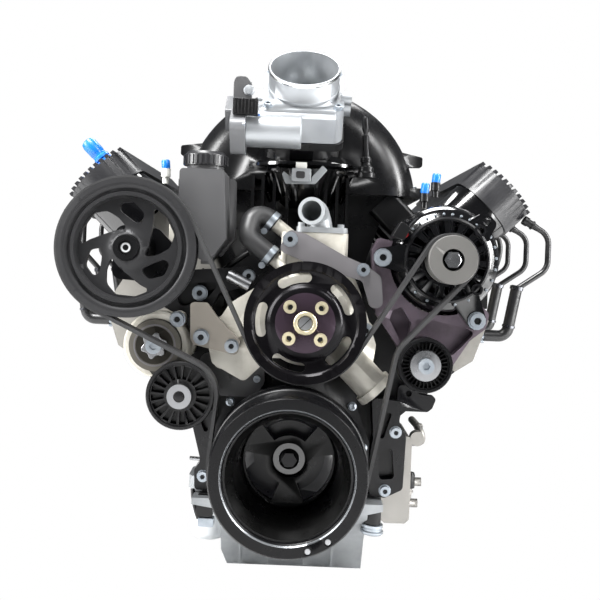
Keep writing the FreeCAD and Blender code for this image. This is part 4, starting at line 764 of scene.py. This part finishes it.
# %% Cooler and hose pieces
bent("cooler_pipe_upper", [(158, -505, 6), (176, -505, 6), (186, -503, 8), (183, -497, 22), (177, -480, 29),
                           (175, -462, 30)], 5.2, cooler_cast)
hollow("cooler_collar_upper", [(5.3, 0), (6.6, 0), (6.6, 2.4), (5.3, 2.4)],
       facing((181.4, -490, 24.4), (-0.2, 0.8, 0.5)), cooler_cast, count=32)
bent("cooler_pipe_lower", [(156, -505, -78), (165, -505, -77), (169, -505, -70), (169, -505, -58)], 4.6,
     cooler_cast)
turned("cooler_cap", [(0, 0), (7.6, 0), (7.9, 2), (7.9, 18), (6.6, 21), (0, 22)],
       facing((169, -505, -57), (0, 0, 1)), satin)
hollow("cooler_collar_lower", [(4.7, 0), (6.0, 0), (6.0, 2.4), (4.7, 2.4)],
       facing((169, -505, -64), (0, 0, 1)), cooler_cast, count=32)
turned("drain_bottle", [(0, 0), (11.5, 0), (11.8, 2), (11.8, 22), (9, 25), (0, 25.5)],
       facing((113.5, -562, -91), (0, 0, 1)), satin)
turned("drain_clamp", [(0, 0), (14, 0), (15.2, 1.5), (15.2, 4), (13, 5), (13, 8), (14, 9), (14, 12.6),
                       (0, 12.6)], facing((113.5, -562, -104), (0.06, 0, 1)), zinc)


def clamp(name, place, way, radius):
    """A worm-drive hose clamp: a thin band 8 mm wide with its screw housing on one side."""
    width = 8
    hollow(name, [(radius, -width / 2), (radius + 1.1, -width / 2), (radius + 1.1, width / 2),
                  (radius, width / 2)], facing(place, way), zinc)
    way = Vector(way).normalized()
    out = way.cross(Vector((0, 1, 0))).normalized()
    across = way.cross(out)
    seat = Vector(place) + out * (radius + 3.4)
    turned(name + "_screw", [(0, -8), (3.2, -8), (3.2, 5), (4.3, 5), (4.3, 9), (0, 9)],
           facing(seat, across), zinc, count=20)


clamp("hose_clamp_lower", (-35, -594, 259.8), (-0.8, 0, 0.6), 13.05)
clamp("hose_clamp_upper", (-34.6, -575, 304.4), (-0.8, 0, 0.6), 13.05)

bent("harness_front", [(268, -492, 311), (279, -492, 306), (289, -490, 286), (284, -486, 255),
                       (273, -482, 245), (266, -480, 212)], 3.4, silicone)
pushed("harness_plug", [(-7, -12), (7, -12), (7, 12), (-7, 12)], 12,
       facing_front(266, 208, -474), satin, radius=2)
bent("harness_loop", [(-128, -548, 236), (-112, -552, 226), (-98, -556, 236), (-84, -556, 250),
                      (-66, -552, 262)], 4.0, silicone)
bent("vent_pipe", [(-60, -590, 219), (-74, -590, 226), (-88, -588, 232)], 8.0, steel)
pushed("pump_casting", [(-173, 248), (-155, 246), (-155, 300), (-166, 310), (-173, 304)], 14,
       facing_front(0, 0, -541), cast, radius=3)
bent("oil_sensor_lead", [(-118, -556, -96), (-126, -554, -80), (-128, -550, -58)], 3.0, silicone)
pushed("oil_sensor_body", [(-121, -91), (-99, -91), (-99, -60), (-119, -60)], 12,
       facing_front(0, 0, -553), satin, radius=2)
pushed("oil_sensor_clamp", [(-118, -104), (-97, -104), (-97, -92.5), (-118, -92.5)], 14,
       facing_front(0, 0, -552), zinc, radius=2)
bent("dipstick_stub", [(-120, -548, -18), (-134, -546, -18)], 2.6, steel)

# %% [markdown]
# ## Lead connectors, boot collars and the reservoir cap's grip
#
# Each coil lead leaves its cover through a stepped connector and ends in a boot with metal
# collars.  All eight follow the bores, so the same rule places every one.  The reservoir's cap has
# moulded ribs for the hand.

# %% Connectors, collars and grip ribs


def plug_end():
    """A stepped lead connector of radius 1 that tapers toward its lead."""
    return stack("plug end", [ring_points(20, radius, z) for radius, z in (
        (0.9, 0), (1.0, 0.1), (1.0, 1.1), (0.82, 1.2), (0.82, 2.0), (1.0, 2.1), (1.0, 2.4),
        (0.74, 2.6), (0.62, 3.6), (0.58, 3.7))])


leads, collars = [], []
for side in (1, -1):
    for row in range(4):
        y = -488.1 - BANK_STAGGER * side + BORE_SPACING * row
        leads.append(((side * 315.5, y, 324.4), (side * (0.88 if side > 0 else 0.74), 0, -0.5), 6.6))
        collars.append(((side * 309.4, y, 225.4), (side * 0.17, 0, 0.98), (9.2, 9.2, 3)))
        collars.append(((side * 300.2, y, 172), (side * 0.17, 0, 0.98), (9.0, 9.0, 2)))
repeat("reservoir_cap_grip", fin_unit,
       [((-124 + 27.8 * c, -582 + 27.8 * s, 379.3), (c, s, 0), (12, 12, 5.2), (0, 0, 1))
        for c, s in [cos_sin(12 * row) for row in range(30)]], cover_black, "cap")
repeat("lead_connectors", plug_end(), leads, satin, "engine")
repeat("boot_collars", stud_unit, collars, gunmetal, "engine")

# %% [markdown]
# ## Fasteners
#
# The pan rail, timing cover and valve covers are held by rows of flanged bolts, all set out
# by the same tree.

# %% Rows of bolts
# Bolt heads of the CAD node: X, Z, depth of the head's face, radius.
head_faces = [(-9.4, 281, 618.9, 8), (84.8, 246, 618.9, 7), (108.5, 262.7, 622.6, 9.5),
              (230.5, 187.2, 622.6, 9.5), (-124.9, 207, 589.3, 8.5), (-150, 173, 607.3, 8.5),
              (-62, 232, 588.3, 7), (-118, 152, 613.9, 8.5), (-79, 142, 612.9, 7.5),
              (92, 168, 606.6, 8), (141.6, 29, 557.6, 6.8), (130, -50, 557.6, 6.8),
              (-115, -40, 557.6, 6.8), (162.6, 132, 658.6, 9.5), (-177, 139, 618.3, 10)]
# Dark discs sunk into the bolt heads' sockets are painted shade in the sockets.
repeat("socket_floors", stud_unit,
       [((x, -y + radius * 0.36, z), FRONT, (radius * 0.44, radius * 0.44, 0.2))
        for x, z, y, radius in head_faces], dark_steel_and_socket_shade, "engine")
repeat("bolt_washers", stud_unit,
       [((x, -y + 6.4, z), FRONT, (radius * 1.24, radius * 1.24, 0.5))
        for x, z, y, radius in head_faces[:13]], zinc, "engine")
pan_rail = [((side * 117, y, -71.2), (0, 0, -1), 6.5) for side in (1, -1)
            for y in range(-500, -20, 60)]
repeat("pan_bolts", bolt_unit, pan_rail, zinc, "engine")
cover = [((side * x, -577.4, z), FRONT, 6.0) for side in (1, -1)
         for x, z in ((96, -54), (97, -20), (96, 12), (80, 66), (74, 104))]
repeat("timing_cover_bolts", bolt_unit, cover, zinc, "engine")
root = math.sqrt(0.5)


def on_bank(side, u, v):
    """Section coordinates of a bank (u out along the bores, v outboard) as X and Z in mm."""
    return side * (u + v) * root, (u - v) * root


rail = []
for side in (1, -1):
    for v in (-98, -14):
        for y in (-430, -330, -230, -130):
            x, z = on_bank(side, 371.4, v + (2 if v > -50 else -2))
            rail.append(((x, y, z), (side * root, 0, root), 5.0))
repeat("cover_bolts", bolt_unit, rail, zinc, "engine")

# %% [markdown]
# ## Flanks, rear and top
#
# Core plugs close the water jacket, studs stand round the exhaust ports, ribs stiffen the intake
# dome and the sump, and bolts hold the rear cover.

# %% Plugs, port studs, stiffening ribs and rear fasteners
plugs, studs, flange_bolts, sump_ribs = [], [], [], []
for side in (1, -1):
    for row in range(4):
        y = -444.1 - BANK_STAGGER * side + BORE_SPACING * row
        studs += [((side * 259.4, y + step, 153.7), (side * 0.943, 0, -0.33), (3.6, 3.6, 6))
                  for step in (-27, 27)]
        if row:
            plugs.append(((side * 178.5, y - 56, 71.0), (side * 0.66, 0, -0.75), (17, 17, 1.6)))
    flange_bolts += [((side * 168, y, 366), (0, 0, 1), 5.0) for y in range(-440, -90, 58)]
    for y in range(-470, -60, 50):
        if side > 0 or not -450 < y < -350:
            wall = 106 if side > 0 else -90
            sump_ribs.append(((wall, y, -116), (side, 0, 0), (62, 14, 9), (0, 0, 1)))
repeat("core_plugs", stud_unit, plugs, zinc, "engine")
repeat("port_studs", stud_unit, studs, zinc, "engine")
repeat("dome_flange_bolts", bolt_unit, flange_bolts, zinc, "engine")
repeat("sump_ribs", fin_unit, sump_ribs, cast_grey, "engine")
for row, y in enumerate(range(-410, -90, 62)):
    bent(f"dome_rib_{row + 1}", [(168.4 * c, y, 338 + 168.4 * s)
                                 for c, s in [cos_sin(t) for t in range(8, 173, 6)]], 3.2, nylon)
repeat("dome_rear_ribs", fin_unit,
       [((100 * c, -70.2, 356 + 100 * s), (0, 1, 0), (110, 14, 10), (c, 0, s))
        for c, s in [cos_sin(t) for t in range(15, 170, 15)]], nylon, "engine")
turned("cam_plug", [(0, 0), (27.9, 0), (27.9, 5), (25, 5), (23, 2.5), (0, 2.5)],
       facing((0, -19, 124.8), (0, 1, 0)), zinc)
repeat("rear_cover_bolts", bolt_unit,
       [((side * x, -6.0, z), (0, 1, 0), 5.6) for side in (1, -1)
        for x, z in ((90, -48), (90, 28), (54, 80))], zinc, "engine")
repeat("drain_plug", bolt_unit, [((0, -42, -140), (0, 1, 0), 9.0)], zinc, "engine")
turned("pressure_sensor", [(0, 0), (11, 0), (11, 6), (8, 8), (8, 26), (6, 28), (6, 36), (0, 36)],
       facing((0, -66, 205), (0, 1, 0.6)), satin)

# %% [markdown]
# ## The studio
#
# A pale floor and a white surround, a wide key light above, two tall strips at the sides that
# draw the long highlights on the black mouldings, a low one and a fill in front, and one behind.

# %% Floor, surround and lights
floor_size = 14.0
floor_mesh = bpy.data.meshes.new("floor")
half = floor_size / 2
floor_mesh.from_pydata([(-half, -half, 0), (half, -half, 0), (half, half, 0), (-half, half, 0)], [],
                       [(0, 1, 2, 3)])
floor_mesh.transform(Matrix.Translation((0, 0, cad_low.z)))
floor = bpy.data.objects.new("floor", floor_mesh)
bpy.context.scene.collection.objects.link(floor)
floor_paint = bpy.data.materials.new("studio floor, white")
floor_paint.use_nodes = True
tree = floor_paint.node_tree
rays = add(tree, "ShaderNodeLightPath")
glow = add(tree, "ShaderNodeEmission", Color=(1, 1, 1, 1), Strength=1.0)
plain = tree.nodes["Principled BSDF"]
plain.inputs["Base Color"].default_value = linear("D8D8D8")
plain.inputs["Roughness"].default_value = 0.8
mixed = add(tree, "ShaderNodeMixShader", i0=rays.outputs["Is Camera Ray"],
            i1=plain.outputs["BSDF"], i2=glow.outputs["Emission"])
tree.links.new(mixed.outputs["Shader"], tree.nodes["Material Output"].inputs["Surface"])
floor_mesh.materials.append(floor_paint)

world = bpy.data.worlds.new("surround")
bpy.context.scene.world = world
world.use_nodes = True
tree = world.node_tree
rays = add(tree, "ShaderNodeLightPath")
seen = add(tree, "ShaderNodeBackground", Color=(1, 1, 1, 1), Strength=1.0)
unseen = tree.nodes["Background"]
unseen.inputs["Color"].default_value = (0.30, 0.31, 0.33, 1)
unseen.inputs["Strength"].default_value = 0.3
mixed = add(tree, "ShaderNodeMixShader", i0=rays.outputs["Is Camera Ray"],
            i1=unseen.outputs["Background"], i2=seen.outputs["Background"])
tree.links.new(mixed.outputs["Shader"], tree.nodes["World Output"].inputs["Surface"])


def softbox(name, spot, target, width, height, power):
    """A rectangular area light aimed at a point."""
    lamp = bpy.data.lights.new(name, "AREA")
    lamp.shape = "RECTANGLE"
    lamp.size, lamp.size_y = width, height
    lamp.energy = power
    made = bpy.data.objects.new(name, lamp)
    made.location = spot
    made.rotation_euler = (Vector(target) - Vector(spot)).to_track_quat("-Z", "Y").to_euler()
    bpy.context.scene.collection.objects.link(made)
    return made


middle = (0, -0.45, 0.18)
softbox("key above", (-0.5, -1.3, 2.1), middle, 0.9, 0.7, 120)
softbox("side left", (-1.7, -1.2, 0.9), middle, 0.5, 1.4, 92)
softbox("side right", (1.7, -1.0, 0.7), middle, 0.25, 1.4, 66)
softbox("low right", (1.3, -1.5, -0.1), middle, 0.9, 0.3, 12)
softbox("fill", (1.3, -1.9, 1.7), middle, 0.6, 0.6, 28)
softbox("top back", (0.2, 0.5, 1.9), (0, -0.3, 0.4), 1.0, 0.6, 34)
print("lights:", len(bpy.data.lights))

# %% [markdown]
# ## The camera
#
# It stands level with the water pump, close enough for the balancer to look larger than the covers
# behind it, and is rolled a little.  The shift frames the engine without tilting the view, so
# upright edges stay upright.

# %% Camera
lens = bpy.data.cameras.new("camera")
FRAME_WIDTH = 600
lens.sensor_width = 36.0
lens.lens = 817 / FRAME_WIDTH * 36.0
lens.shift_x = -1.6 / FRAME_WIDTH
lens.shift_y = -40 / FRAME_WIDTH
camera = bpy.data.objects.new("camera", lens)
camera.location = (0.006, -1.650, 0.2553)
camera.rotation_euler = (math.radians(90), math.radians(-2.3), 0)
bpy.context.scene.collection.objects.link(camera)
bpy.context.scene.camera = camera
bpy.context.scene.view_settings.view_transform = "Standard"
print("camera at", tuple(camera.location), "with a lens of", round(lens.lens, 1), "mm")
